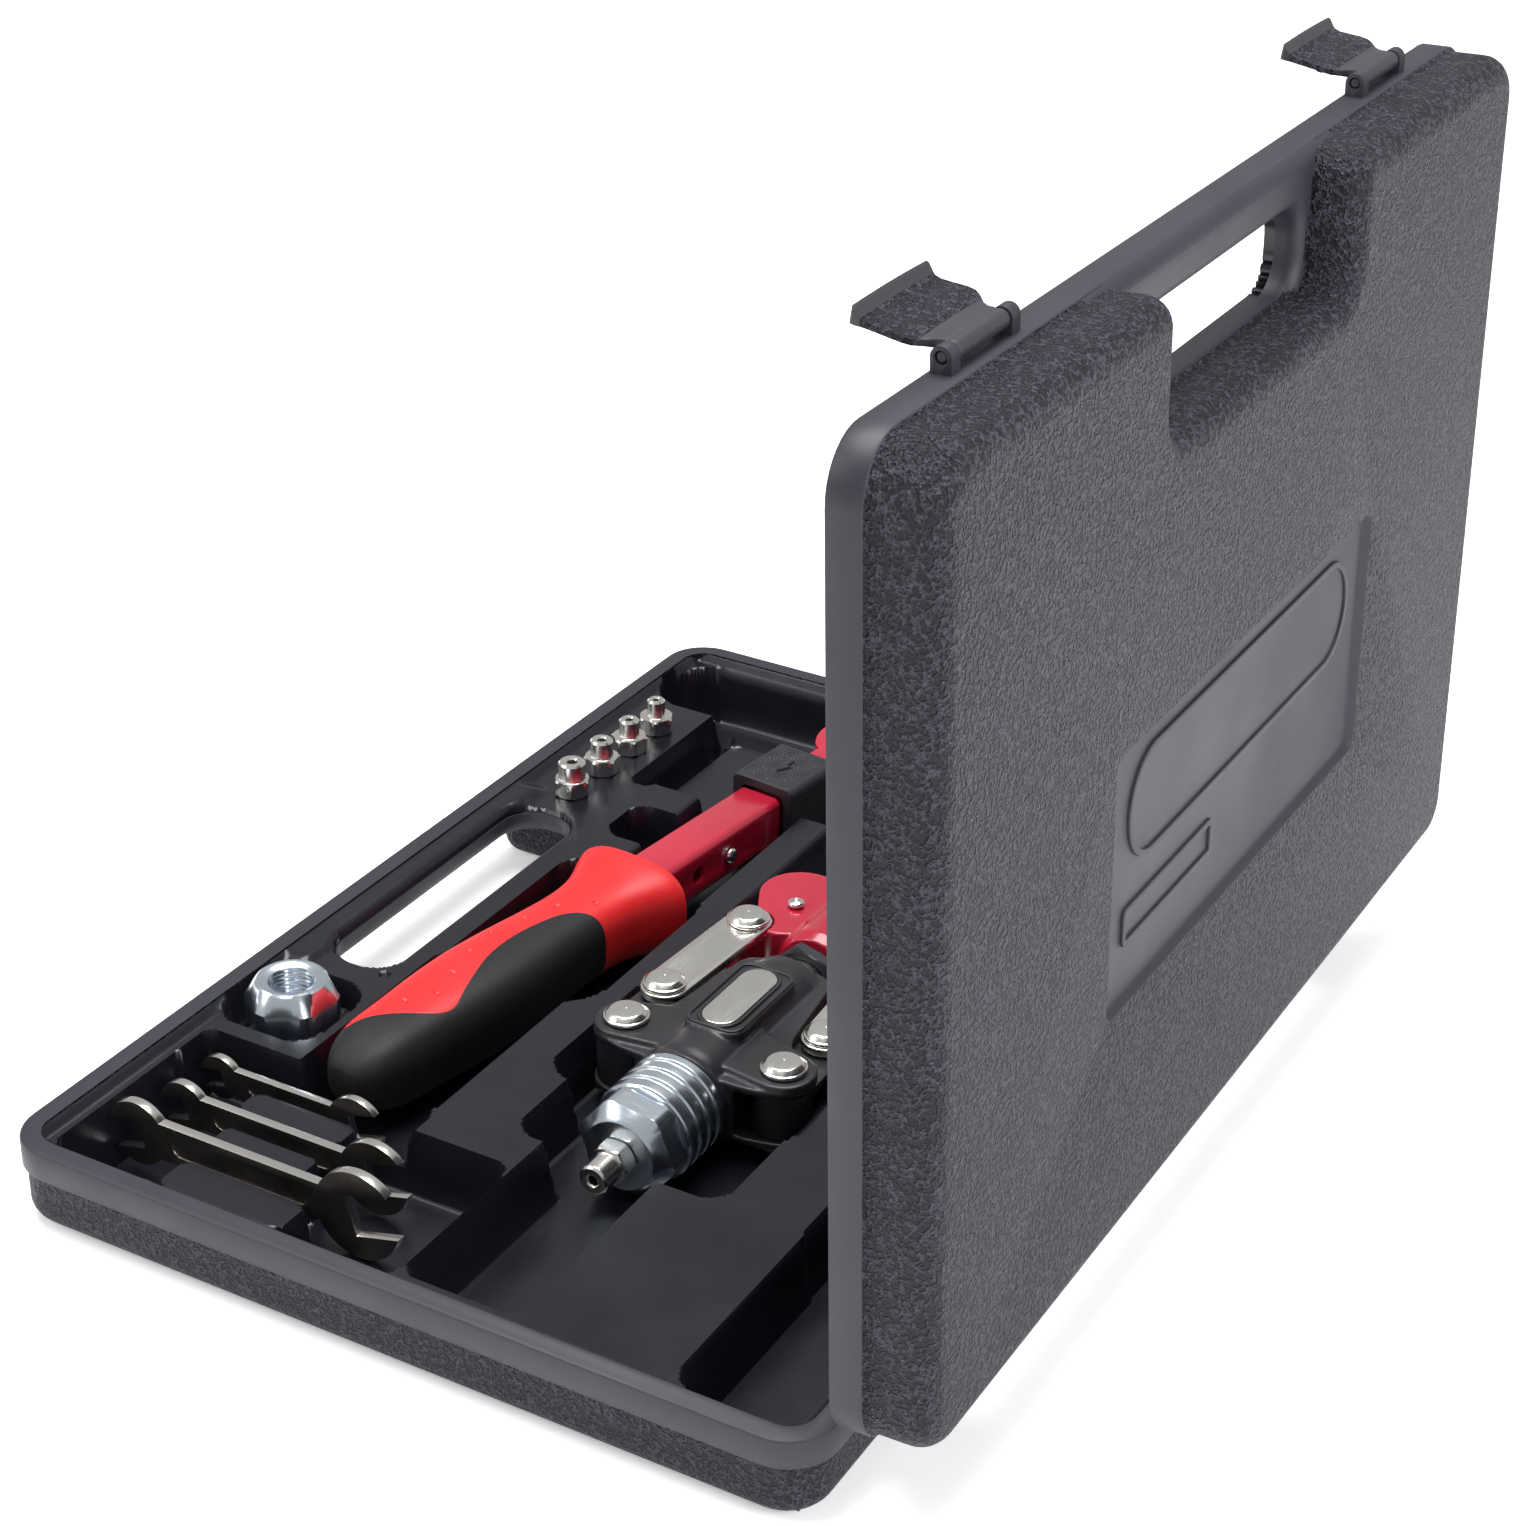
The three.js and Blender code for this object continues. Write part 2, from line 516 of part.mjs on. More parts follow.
// The grip's half width and half height along the arm
function gripSize(t) {
  const flare = Math.exp(-((t / 0.11) ** 2));
  const belly = Math.sin(Math.PI * Math.min(1, Math.max(0, (t - 0.2) / 0.75))) ** 2;
  return { wide: 14.4 + 9.4 * flare + 3 * belly, high: 14 + 3 * flare + 1.6 * belly };
}
const GRIP = { x0: -31, x1: 117, steps: 8, round: 0.875 };

function loft(rings) {
  const n = rings[0].length;
  const position = rings.flat().flat();
  const index = [];
  for (let i = 0; i + 1 < rings.length; i += 1) {
    for (let j = 0; j < n; j += 1) {
      const k = (j + 1) % n;
      const [a, b, c, d] = [i * n + j, i * n + k, (i + 1) * n + j, (i + 1) * n + k];
      index.push(a, b, c, b, d, c);
    }
  }
  for (let j = 1; j + 1 < n; j += 1) {
    index.push(0, j + 1, j);
    const last = (rings.length - 1) * n;
    index.push(last, last + j, last + j + 1);
  }
  const geometry = new THREE.BufferGeometry();
  geometry.setAttribute("position", new THREE.BufferAttribute(new Float32Array(position), 3));
  geometry.setIndex(index);
  return solid(geometry);
}

function superRing(x, wide, high, n = 12, power = 0.62) {
  return Array.from({ length: n }, (_, j) => {
    const a = (2 * Math.PI * j) / n;
    const c = Math.cos(a);
    const s = Math.sin(a);
    return [x, wide * Math.sign(c) * Math.abs(c) ** power, high * Math.sign(s) * Math.abs(s) ** power];
  });
}

function gripBody(shrink) {
  const rings = Array.from({ length: GRIP.steps + 1 }, (_, i) => {
    const t = i / GRIP.steps;
    const x = GRIP.x0 + (GRIP.x1 - GRIP.x0) * t;
    const { wide, high } = gripSize(t);
    const end = t > GRIP.round ? Math.sqrt(1 - 0.7 * ((t - GRIP.round) / (1 - GRIP.round)) ** 2) : 1;
    const overrun = i === 0 && shrink ? -5 : 0;
    const place = i === GRIP.steps ? x - shrink : x + overrun;
    return superRing(place, wide * end - shrink, high * end - shrink);
  });
  return loft(rings);
}

// the dark overmould covers the palm side and the whole butt of the grip
function overmouldZone(grow = 0) {
  const s = new THREE.Shape();
  s.moveTo(24 - grow, 40);
  s.quadraticCurveTo(-8 - grow, 16, -3 - grow, 8);
  s.quadraticCurveTo(8, -7 - grow, 32, -8.4 - grow);
  s.quadraticCurveTo(48, -7 - grow, 58, 1.5 - grow);
  s.quadraticCurveTo(70 - grow, 10 - grow, 79 - grow, -1 - grow);
  s.lineTo(98 - grow, -40);
  s.lineTo(140, -40);
  s.lineTo(140, 40);
  s.closePath();
  return prism(s, -40, 40, 3);
}
const SKIN = 2.2; // thickness of the overmould
const makeOvermould = () => cut(gripBody(0), gripBody(SKIN)).intersect(overmouldZone());
function makeGrip() {
  const seat = cut(gripBody(-1), gripBody(SKIN + GAP)).intersect(overmouldZone(GAP));
  return cut(gripBody(0), square(ARM.tube / 2 + GAP, -60, 61, 2), seat);
}

// ---------------------------------------------------------------- loose accessories
function makeNosepiece(tip) {
  const hex = rodZ(hexAcross(NOSE.flats), 0, 0, 12.3, 18.3, 6);
  const round = turnedZ([[0, -6], [3.4, -6], [3.6, -5], [3.6, 12.4], [5.6, 12.4], [5.6, 18.3], [tip, 18.9],
    [tip, 24.4], [tip - 0.6, 25], [0, 25]], 12);
  return cut(join(hex, round), rodZ(tip * 0.38, 0, 0, 6, 40, 12));
}

function makeFlangeNut() {
  const bevel = turnedZ([[0, 9], [13.2, 9], [17.2, 13], [17.2, 25], [13.6, 29], [0, 29]], 18);
  const hex = rodZ(hexAcross(28), 0, 0, 9, 29, 6).intersect(bevel);
  const flange = turnedZ([[0, 3.4], [15, 3.4], [15.6, 4.2], [15.6, 8.2], [14, 9.2], [0, 9.2]], 18);
  return cut(join(hex, flange), rodZ(7.2, 0, 0, -1, 40, 14));
}

// An open-ended wrench standing on its edge in the YZ plane, jaws up and to +Y
function makeWrench(w) {
  const s = new THREE.Shape();
  const half = w.shank / 2;
  s.moveTo(-w.length, -half);
  s.lineTo(0, -half);
  s.lineTo(0, half);
  s.lineTo(-w.length, half);
  s.lineTo(-w.length, -half);
  const head = (y, z, r, jaw, tilt) =>
    cut(
      prism(new THREE.Shape().absarc(y, z, r, 0, 2 * Math.PI), -w.thick / 2, w.thick / 2, 7),
      block(0, 2 * r, -jaw / 2, jaw / 2, -9, 9)
        .translate([-r * 0.15, 0, 0])
        .rotate([0, 0, tilt])
        .translate([y, z, 0]),
    );
  const flat = join(prism(s, -w.thick / 2, w.thick / 2), head(0, 0, w.head, w.jaw, 15),
    head(-w.length, 0, w.tail, w.tailJaw, 195));
  return flat.rotate([90, 0, 90]);
}

// ---------------------------------------------------------------- assembly
const group = new THREE.Group();
const put = (parent, piece, x = 0, y = 0, z = 0) => {
  piece.position.set(x, y, z);
  parent.add(piece);
};

put(group, mesh("base_shell", shellPlastic, makeBaseShell()));
put(group, mesh("base_tray", trayPlastic, makeBaseTray()));
KNUCKLES.forEach((x, i) =>
  put(group, mesh(`hinge_pin_${i + 1}`, nickel, rodX(HINGE.pin, -19.5, 19.5, 0, 0)), x, HINGE.y, HINGE.z));
put(group, mesh("lid_shell", shellPlastic, makeLidShell()));
put(group, mesh("lid_liner", trayPlastic, makeLidLiner()));
LATCH.x.forEach((x, i) => put(group, mesh(`latch_${i + 1}`, latchPlastic, openLid(makeLatch(x)))));

const riveter = new THREE.Group();
riveter.position.set(0, RIVETER.y, RIVETER.z);
put(riveter, mesh("head_body", casting, makeHead()));
put(riveter, mesh("front_housing", zinc, makeHousing()));
put(riveter, mesh("fitted_nosepiece", nickel, makeFittedNose()));
put(riveter, mesh("pull_tube", nickel, makeTube()));
put(riveter, mesh("jaw_case", darkSteel, makeJawCase()));
put(riveter, mesh("jaw_upper", darkSteel, makeJaw(1)));
put(riveter, mesh("jaw_lower", darkSteel, makeJaw(-1)));
put(riveter, mesh("jaw_spring", darkSteel, makeSpring()));
put(riveter, mesh("lock_nut", collarBlack, makeLockNut()));
put(riveter, mesh("crosshead_yoke", crimson, makeYoke()));
for (const [side, s] of [["front", -1], ["rear", 1]]) {
  put(riveter, mesh(`${side}_clamp_screw`, nickel, makeClampScrew(s)));
  put(riveter, mesh(`${side}_ear_pin`, nickel, makeEarPin(s)));
  put(riveter, mesh(`${side}_link_pin`, nickel, makePin(CRANK.x, s * CRANK.y)));
  put(riveter, mesh(`${side}_yoke_pin`, nickel, makePin(YOKE.x, s * YOKE.y)));
  put(riveter, mesh(`${side}_link_top`, nickel, makeLink(s, 1)));
  put(riveter, mesh(`${side}_link_bottom`, nickel, makeLink(s, -1)));
  put(riveter, mesh(`${side}_lever_root`, casting, makeLeverRoot(s)));
}
group.add(riveter);

for (const [side, s] of [["front", 1], ["rear", -1]]) {
  const arm = new THREE.Group();
  arm.position.set(0, RIVETER.y - s * ARM_SPREAD, ARM.z);
  arm.rotation.z = THREE.MathUtils.degToRad(-s * ARM_ANGLE);
  const handed = (body) => (s > 0 ? body : body.mirror([0, 1, 0]));
  put(arm, mesh(`${side}_arm_bar`, crimson, handed(makeInnerBar())));
  put(arm, mesh(`${side}_arm_tube`, crimson, handed(makeOuterTube())));
  put(arm, mesh(`${side}_lock_collar`, collarBlack, handed(makeCollar())));
  put(arm, mesh(`${side}_snap_button`, nickel, handed(makeButton())));
  put(arm, mesh(`${side}_grip`, gripRed, handed(makeGrip())));
  put(arm, mesh(`${side}_grip_overmould`, gripBlack, handed(makeOvermould())));
  group.add(arm);
}

const TIPS = [4.9, 4.2, 3.7, 3.3];
NOSE_X.forEach((x, i) =>
  put(group, mesh(`nosepiece_${i + 1}`, nickel, makeNosepiece(TIPS[i])), x, NOSE.y, NOSE.z));
put(group, mesh("flange_nut", zinc, makeFlangeNut()), 90.5, -113, 6.2);

const WRENCHES = {
  small: { x: 126, y: -62, z: 17.5, length: 52, shank: 9, thick: 2.6, head: 10, jaw: 8, tail: 7.5, tailJaw: 6 },
  medium: { x: 146, y: -40, z: 18.5, length: 72, shank: 11, thick: 3, head: 12.5, jaw: 11, tail: 9, tailJaw: 8 },
  large: { x: 165, y: -32, z: 20, length: 82, shank: 13, thick: 3.2, head: 15, jaw: 14, tail: 11, tailJaw: 10 },
};
for (const [size, w] of Object.entries(WRENCHES)) {
  put(group, mesh(`${size}_wrench`, darkSteel, makeWrench(w)), w.x, w.y, w.z);
}

export default group;
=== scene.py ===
import math

import bmesh
import bpy
import numpy as np
from mathutils import Matrix, Vector
from mathutils.bvhtree import BVHTree


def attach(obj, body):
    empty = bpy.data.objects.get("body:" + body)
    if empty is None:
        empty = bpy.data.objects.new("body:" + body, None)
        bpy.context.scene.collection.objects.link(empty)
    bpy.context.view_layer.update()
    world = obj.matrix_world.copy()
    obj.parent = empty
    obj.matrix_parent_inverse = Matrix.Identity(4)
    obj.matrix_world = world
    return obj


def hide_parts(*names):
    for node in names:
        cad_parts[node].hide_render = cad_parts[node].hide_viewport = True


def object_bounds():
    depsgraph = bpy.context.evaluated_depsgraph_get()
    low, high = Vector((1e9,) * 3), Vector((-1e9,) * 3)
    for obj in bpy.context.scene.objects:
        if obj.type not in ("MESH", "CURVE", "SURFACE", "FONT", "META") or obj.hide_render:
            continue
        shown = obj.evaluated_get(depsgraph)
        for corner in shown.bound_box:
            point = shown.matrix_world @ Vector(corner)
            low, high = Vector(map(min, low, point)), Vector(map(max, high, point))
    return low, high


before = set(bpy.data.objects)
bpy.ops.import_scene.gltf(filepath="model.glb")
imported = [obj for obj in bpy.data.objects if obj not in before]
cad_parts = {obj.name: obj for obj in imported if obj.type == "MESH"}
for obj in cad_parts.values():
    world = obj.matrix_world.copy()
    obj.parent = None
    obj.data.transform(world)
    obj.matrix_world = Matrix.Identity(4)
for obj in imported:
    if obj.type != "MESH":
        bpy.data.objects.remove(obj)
cad_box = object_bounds()
for start_object in ("Cube", "Light", "Camera"):
    if start_object in bpy.data.objects:
        bpy.data.objects.remove(bpy.data.objects[start_object])

# Lever hand riveter set in a moulded case. Shapes are worked out in millimetres in the
# part's own frame (X along the hinge, -Y the handle side, Z up) and stored in metres.
MM = 0.001

# ------------------------------------------------------------------ driving sizes
CASE = {"x": 200.0, "y": 138.6, "base": 29.2, "lid": 28.7, "corner": 16.0, "edge": 8.0}
BAND = 10.0  # height of the smooth band along each rim
WALL = 6.6  # from the case's side to the tray's space
INSET = 1.3  # how far the grained walls lie behind the band
GAP = 0.3  # between the closed lid and the base
SLOT = {"x0": -57.0, "x1": 60.0, "y0": -123.4, "y1": -98.4, "r": 11.0}
LID_OPEN = math.radians(88)
HINGE = (143.1, 29.2)  # y, z of the hinge's axis
HINGE_X = (-150, 150)
TRAY_TOP = 26.0
FLOOR = 4.2  # height of the pockets' floors
RIVETER = (19.2, 22.0)  # y, z of the riveter's axis
ARM_SPREAD, ARM_ANGLE, ARM_Z = 80.5, math.radians(6.28), 22.0
NOSE_X, NOSE_Y = (-74, -94, -113, -132), -112.6
AXIS = 0.01  # radius that stands for the axis in a turned profile
SIDES = (("front", -1), ("rear", 1))


# ------------------------------------------------------------------ materials
class Nodes:
    """A short way to write a node material."""

    def __init__(self, name, color, roughness, metallic=0.0):
        self.mat = bpy.data.materials.new(name)
        self.mat.use_nodes = True
        self.tree = self.mat.node_tree
        self.shader = self.tree.nodes["Principled BSDF"]
        self.shader.inputs["Base Color"].default_value = (*color, 1)
        self.shader.inputs["Roughness"].default_value = roughness
        self.shader.inputs["Metallic"].default_value = metallic
        self.place = self.add("ShaderNodeTexCoord").outputs["Object"]
        self.normal = None

    def add(self, kind, **inputs):
        node = self.tree.nodes.new(kind)
        for key, value in inputs.items():
            self.link(node.inputs[key.replace("_", " ")], value)
        return node

    def link(self, socket, value):
        if isinstance(value, bpy.types.NodeSocket):
            self.tree.links.new(value, socket)
        else:
            socket.default_value = value

    def noise(self, scale, detail=3.0, stretch=None, rough=0.55):
        place = self.place
        if stretch:
            mapping = self.add("ShaderNodeMapping", Vector=place, Scale=stretch)
            place = mapping.outputs["Vector"]
        node = self.add("ShaderNodeTexNoise", Vector=place, Scale=scale, Detail=detail, Roughness=rough)
        return node.outputs["Fac"]

    def ramp(self, value, stops):
        node = self.add("ShaderNodeValToRGB", Fac=value)
        elements = node.color_ramp.elements
        while len(elements) < len(stops):
            elements.new(0.5)
        for element, (position, color) in zip(elements, stops):
            element.position = position
            element.color = (*color, 1) if len(color) == 3 else color
        return node.outputs["Color"]

    def grey(self, value, low, high, start=0.0, end=1.0):
        """Maps value from start..end to low..high."""
        node = self.add("ShaderNodeMapRange", Value=value)
        for key, number in (("From Min", start), ("From Max", end), ("To Min", low), ("To Max", high)):
            node.inputs[key].default_value = number
        return node.outputs["Result"]

    def bump(self, height, strength, distance=0.0002):
        node = self.add("ShaderNodeBump", Height=height, Strength=strength, Distance=distance)
        if self.normal:
            self.link(node.inputs["Normal"], self.normal)
        self.normal = node.outputs["Normal"]
        self.link(self.shader.inputs["Normal"], self.normal)

    def math(self, operation, a, b=0.0):
        node = self.tree.nodes.new("ShaderNodeMath")
        node.operation = operation
        self.link(node.inputs[0], a)
        self.link(node.inputs[1], b)
        return node.outputs[0]

    def mix(self, a, share, b):
        """a and b added in the proportions share and 1 - share."""
        rest = self.math("MULTIPLY", b, round(1 - share, 3))
        return self.math("ADD", self.math("MULTIPLY", a, share), rest)

    def color(self, value):
        self.link(self.shader.inputs["Base Color"], value)

    def shade(self, value, base, dark, light, start=0.3, end=0.7):
        """Base colour from dark to light times base, as value goes from start to end."""
        self.color(self.ramp(value, [(start, tint(base, dark)), (end, tint(base, light))]))

    def roughness(self, value):
        self.link(self.shader.inputs["Roughness"], value)

    def set(self, **inputs):
        for key, value in inputs.items():
            self.shader.inputs[key.replace("_", " ")].default_value = value


def tint(color, factor):
    return tuple(min(1.0, c * factor) for c in color)


def plastic_grained():
    """Pebbled outside of the case; the grain's crests get painted highlights and its pits painted shade."""
    base = (0.029, 0.029, 0.040)
    n = Nodes("shell_grained", base, 0.42)
    worms = n.noise(400, 2.0)
    off_line = n.math("ABSOLUTE", n.math("SUBTRACT", worms, 0.5))
    crest = n.math("SUBTRACT", 1.0, n.math("MULTIPLY", off_line, 12.0))
    pits = n.noise(900, 2.0)
    height = n.math("ADD", n.math("MAXIMUM", crest, -0.4), n.math("MULTIPLY", pits, 0.7))
    worn = n.noise(14, 4.0)
    n.bump(height, 1.0, 0.0009)
    # Colour follows the bump's height: crests are painted lighter as painted highlight and pits darker as
    # painted shade, with a fifth of random tone mixed in.
    painted_crest_light = n.grey(height, 0.0, 1.0, -0.1, 1.4)
    n.color(n.ramp(n.mix(painted_crest_light, 0.8, worn), [(0.15, tint(base, 0.4)), (0.5, base), (0.9, tint(base, 2.5))]))
    n.roughness(n.grey(pits, 0.38, 0.6))
    n.set(Specular_IOR_Level=0.24)
    return n.mat


def plastic_smooth(name, base, roughness, fine=0.25):
    """Smooth moulded plastic with faint flow marks and handling wear."""
    n = Nodes(name, base, roughness)
    cloud = n.noise(22, 5.0)
    flow = n.noise(9, 3.0, stretch=(1, 4, 1))
    n.shade(n.mix(cloud, 0.6, flow), base, 0.86, 1.14)
    n.roughness(n.grey(cloud, roughness - 0.07, roughness + 0.09, 0.3, 0.7))
    n.bump(n.noise(1400, 2.0), fine, 0.00008)
    n.bump(n.noise(60, 2.0), 0.12, 0.0003)
    return n.mat


def paint_crimson():
    base = (0.47, 0.008, 0.035)
    n = Nodes("crimson_paint", base, 0.28)
    peel = n.noise(380, 2.0)
    tone = n.noise(26, 3.0)
    n.shade(tone, base, 0.85, 1.12)
    n.roughness(n.grey(tone, 0.2, 0.34, 0.3, 0.7))
    n.bump(peel, 0.18, 0.0002)
    n.set(Coat_Weight=0.6, Coat_Roughness=0.12)
    return n.mat


def grip_plastic():
    base = (0.78, 0.018, 0.022)
    n = Nodes("grip_red", base, 0.42)
    tone = n.noise(30, 4.0)
    n.shade(tone, base, 0.84, 1.1, 0.25, 0.75)
    n.roughness(n.grey(tone, 0.36, 0.5, 0.3, 0.7))
    n.bump(n.noise(900, 2.0), 0.2, 0.0001)
    n.set(Subsurface_Weight=0.04, Subsurface_Scale=0.002)
    return n.mat


def overmould_rubber():
    base = (0.004, 0.004, 0.006)
    n = Nodes("grip_black", base, 0.46)
    grain = n.noise(1500, 2.0)
    tone = n.noise(40, 3.0)
    n.shade(tone, base, 0.8, 1.5)
    n.roughness(n.grey(grain, 0.5, 0.7))
    n.bump(grain, 0.35, 0.00012)
    return n.mat


def cast_metal():
    base = (0.014, 0.014, 0.018)
    n = Nodes("cast_black", base, 0.42, 0.15)
    grain = n.noise(700, 4.0)
    tone = n.noise(35, 3.0)
    n.shade(tone, base, 0.8, 1.45)
    n.roughness(n.grey(tone, 0.34, 0.5, 0.3, 0.7))
    n.bump(grain, 0.3, 0.00018)
    n.set(Coat_Weight=0.25, Coat_Roughness=0.3)
    return n.mat


def bright_metal(name, base, roughness, along, lines):
    """Plated metal with fine tool marks that run across the direction given by along."""
    n = Nodes(name, base, roughness, 1.0)
    marks = n.noise(160, 4.0, stretch=along)
    stain = n.noise(30, 3.0)
    n.shade(stain, base, 0.95, 1.04)
    n.roughness(n.grey(marks, roughness - 0.03, roughness + 0.05, 0.3, 0.7))
    n.bump(marks, lines, 0.00012)
    return n.mat


def spanner_steel():
    """Blackened sides; the ground edges, whose normals don't face along X, are bright."""
    dark, bright = (0.16, 0.145, 0.13), (0.78, 0.76, 0.72)
    n = Nodes("dark_steel", dark, 0.4, 1.0)
    normal = n.add("ShaderNodeNewGeometry").outputs["True Normal"]
    split = n.add("ShaderNodeSeparateXYZ", Vector=normal)
    side = n.math("ABSOLUTE", split.outputs["X"])
    edge = n.grey(side, 1.0, 0.0, 0.45, 0.8)
    cloud = n.noise(70, 4.0)
    blend = n.add("ShaderNodeMix")
    blend.data_type = "RGBA"
    n.link(blend.inputs["Factor"], edge)
    n.link(blend.inputs[6], n.ramp(cloud, [(0.3, tint(dark, 0.75)), (0.7, tint(dark, 1.5))]))
    blend.inputs[7].default_value = (*bright, 1)
    n.color(blend.outputs[2])
    n.roughness(n.grey(edge, 0.42, 0.22))
    n.bump(n.noise(260, 4.0, stretch=(1, 8, 1)), 0.2, 0.0001)
    return n.mat


GRAINED = plastic_grained()
SMOOTH = plastic_smooth("shell_smooth", (0.024, 0.024, 0.035), 0.5)
PANEL = plastic_smooth("label_panel", (0.034, 0.034, 0.046), 0.6)
TRAY = plastic_smooth("tray_plastic", (0.009, 0.009, 0.014), 0.25, 0.08)
LATCH = plastic_smooth("latch_plastic", (0.034, 0.034, 0.041), 0.4, 0.5)
CRIMSON = paint_crimson()
RED = grip_plastic()
RUBBER = overmould_rubber()
CAST = cast_metal()
NICKEL = bright_metal("nickel", (0.86, 0.84, 0.80), 0.20, (1, 6, 1), 0.03)
ZINC = bright_metal("zinc", (0.74, 0.82, 0.90), 0.22, (9, 1, 1), 0.05)
STEEL = spanner_steel()
KNURL = plastic_smooth("collar_black", (0.020, 0.020, 0.026), 0.5, 0.3)


# ------------------------------------------------------------------ mesh helpers
def to_object(name, verts, faces, *materials):
    mesh = bpy.data.meshes.new(name)
    mesh.from_pydata([tuple(v) for v in np.asarray(verts, float) * MM], [], faces)
    mesh.validate()
    obj = bpy.data.objects.new(name, mesh)
    bpy.context.scene.collection.objects.link(obj)
    for material in materials:
        mesh.materials.append(material)
    return obj


def finish_piece(obj, body, nodes=(), angle=35):
    """Smooths the shading, puts the piece on its body and hides the CAD nodes it stands for."""
    obj.data.shade_smooth()
    obj.data.set_sharp_from_angle(angle=math.radians(angle))
    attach(obj, body)
    if nodes:
        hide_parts(*nodes)
    return obj


def apply_modifiers(obj):
    graph = bpy.context.evaluated_depsgraph_get()
    mesh = bpy.data.meshes.new_from_object(obj.evaluated_get(graph))
    old = obj.data
    obj.modifiers.clear()
    obj.data = mesh
    bpy.data.meshes.remove(old)
    return obj


def drop(obj):
    mesh = obj.data
    bpy.data.objects.remove(obj)
    bpy.data.meshes.remove(mesh)


def boolean(obj, tools, operation="DIFFERENCE"):
    for tool in tools:
        modifier = obj.modifiers.new("cut", "BOOLEAN")
        modifier.operation = operation
        modifier.object = tool
        modifier.solver = "EXACT"
    apply_modifiers(obj)
    for tool in tools:
        drop(tool)
    return obj


def bevel(obj, width, segments=3, angle=40):
    modifier = obj.modifiers.new("bevel", "BEVEL")
    modifier.width = width * MM
    modifier.segments = segments
    modifier.limit_method = "ANGLE"
    modifier.angle_limit = math.radians(angle)
    modifier.use_clamp_overlap = True
    return apply_modifiers(obj)


def transform(obj, matrix):
    """Moves the mesh itself, with the matrix in millimetres, and keeps its faces pointing out."""
    scale = Matrix.Scale(MM, 4)
    obj.data.transform(scale @ matrix @ scale.inverted())
    if matrix.determinant() < 0:
        obj.data.flip_normals()
    return obj


def move(x, y, z):
    return Matrix.Translation((x, y, z))


def ring_faces(rings, count, closed=False):
    faces = []
    for i in range(rings if closed else rings - 1):
        a, b = i * count, ((i + 1) % rings) * count
        faces += [(a + j, a + (j + 1) % count, b + (j + 1) % count, b + j) for j in range(count)]
    return faces


def loft(name, rings, *materials):
    """A closed body through rings with the same number of points, the first and last ones capped."""
    count = len(rings[0])
    faces = ring_faces(len(rings), count)
    faces.append(tuple(range(count))[::-1])
    faces.append(tuple(range((len(rings) - 1) * count, len(rings) * count)))
    return outward(to_object(name, np.concatenate(rings), faces, *materials))


def outward(obj, merge=0.0):
    """Points the faces out, after merging the points that are closer than merge (in metres)."""
    shape = bmesh.new()
    shape.from_mesh(obj.data)
    if merge:
        bmesh.ops.remove_doubles(shape, verts=shape.verts, dist=merge)
    bmesh.ops.recalc_face_normals(shape, faces=shape.faces)
    shape.to_mesh(obj.data)
    shape.free()
    return obj


def fillet(points, radius, steps=4):
    """Rounds the inner corners of an open line of points."""
    out = [np.array(points[0], float)]
    for a, b, c in zip(points, points[1:], points[2:]):
        a, b, c = (np.array(p, float) for p in (a, b, c))
        back, ahead = a - b, c - b
        reach = min(radius, np.linalg.norm(back) * 0.48, np.linalg.norm(ahead) * 0.48)
        start = b + back / np.linalg.norm(back) * reach
        end = b + ahead / np.linalg.norm(ahead) * reach
        for k in range(steps + 1):
            t = k / steps
            out.append((1 - t) ** 2 * start + 2 * t * (1 - t) * b + t * t * end)
    out.append(np.array(points[-1], float))
    return np.array(out)


def turned(name, profile, material, axis="X", sides=72, shape=None, at=(0, 0, 0), round_by=0.0):
    """A body turned about an axis from [along, radius] points that close on themselves.
    shape(along, radius, angle) may change each radius, for hexagons and threads."""
    line = np.array(profile, float)
    if round_by:
        line = fillet(line, round_by)
    if np.allclose(line[0], line[-1]):
        line = line[:-1]
    angles = np.linspace(0, 2 * math.pi, sides, endpoint=False)
    along, radius = np.repeat(line[:, 0], sides), np.repeat(line[:, 1], sides)
    turn = np.tile(angles, len(line))
    if shape:
        radius = shape(along, radius, turn)
    c, s = radius * np.cos(turn), radius * np.sin(turn)
    verts = np.stack({"X": (along, c, s), "Z": (c, s, along), "Y": (c, along, s)}[axis], 1)
    obj = to_object(name, verts + np.array(at), ring_faces(len(line), sides, closed=True), material)
    return outward(obj, merge=1e-7)


def cylinder(start, end, radius):
    """The profile of a plain solid cylinder, for turned()."""
    return [(start, AXIS), (start, radius), (end, radius), (end, AXIS), (start, AXIS)]


def hexagon(flats, turn=0.0):
    """Limits a radius to a hexagon, leaving what is already inside it."""
    def limit(along, radius, angle):
        within = np.mod(angle + turn, math.pi / 3) - math.pi / 6
        return np.minimum(radius, flats / 2 / np.cos(within))
    return limit


def arc(x, y, r, start, end, steps=12):
    a = np.radians(np.linspace(start, end, steps))
    return [(x + r * math.cos(t), y + r * math.sin(t)) for t in a]


def round_rect(x0, x1, y0, y1, r, steps=8):
    return (arc(x1 - r, y0 + r, r, -90, 0, steps) + arc(x1 - r, y1 - r, r, 0, 90, steps)
            + arc(x0 + r, y1 - r, r, 90, 180, steps) + arc(x0 + r, y0 + r, r, 180, 270, steps))


def prism(name, points, z0, z1, *materials):
    n = len(points)
    verts = [(x, y, z) for z in (z0, z1) for x, y in points]
    faces = [(i, (i + 1) % n, n + (i + 1) % n, n + i) for i in range(n)]
    faces += [tuple(range(n))[::-1], tuple(range(n, 2 * n))]
    return outward(to_object(name, verts, faces, *materials))


def box(name, x0, x1, y0, y1, z0, z1, *materials):
    return prism(name, [(x0, y0), (x1, y0), (x1, y1), (x0, y1)], z0, z1, *materials)


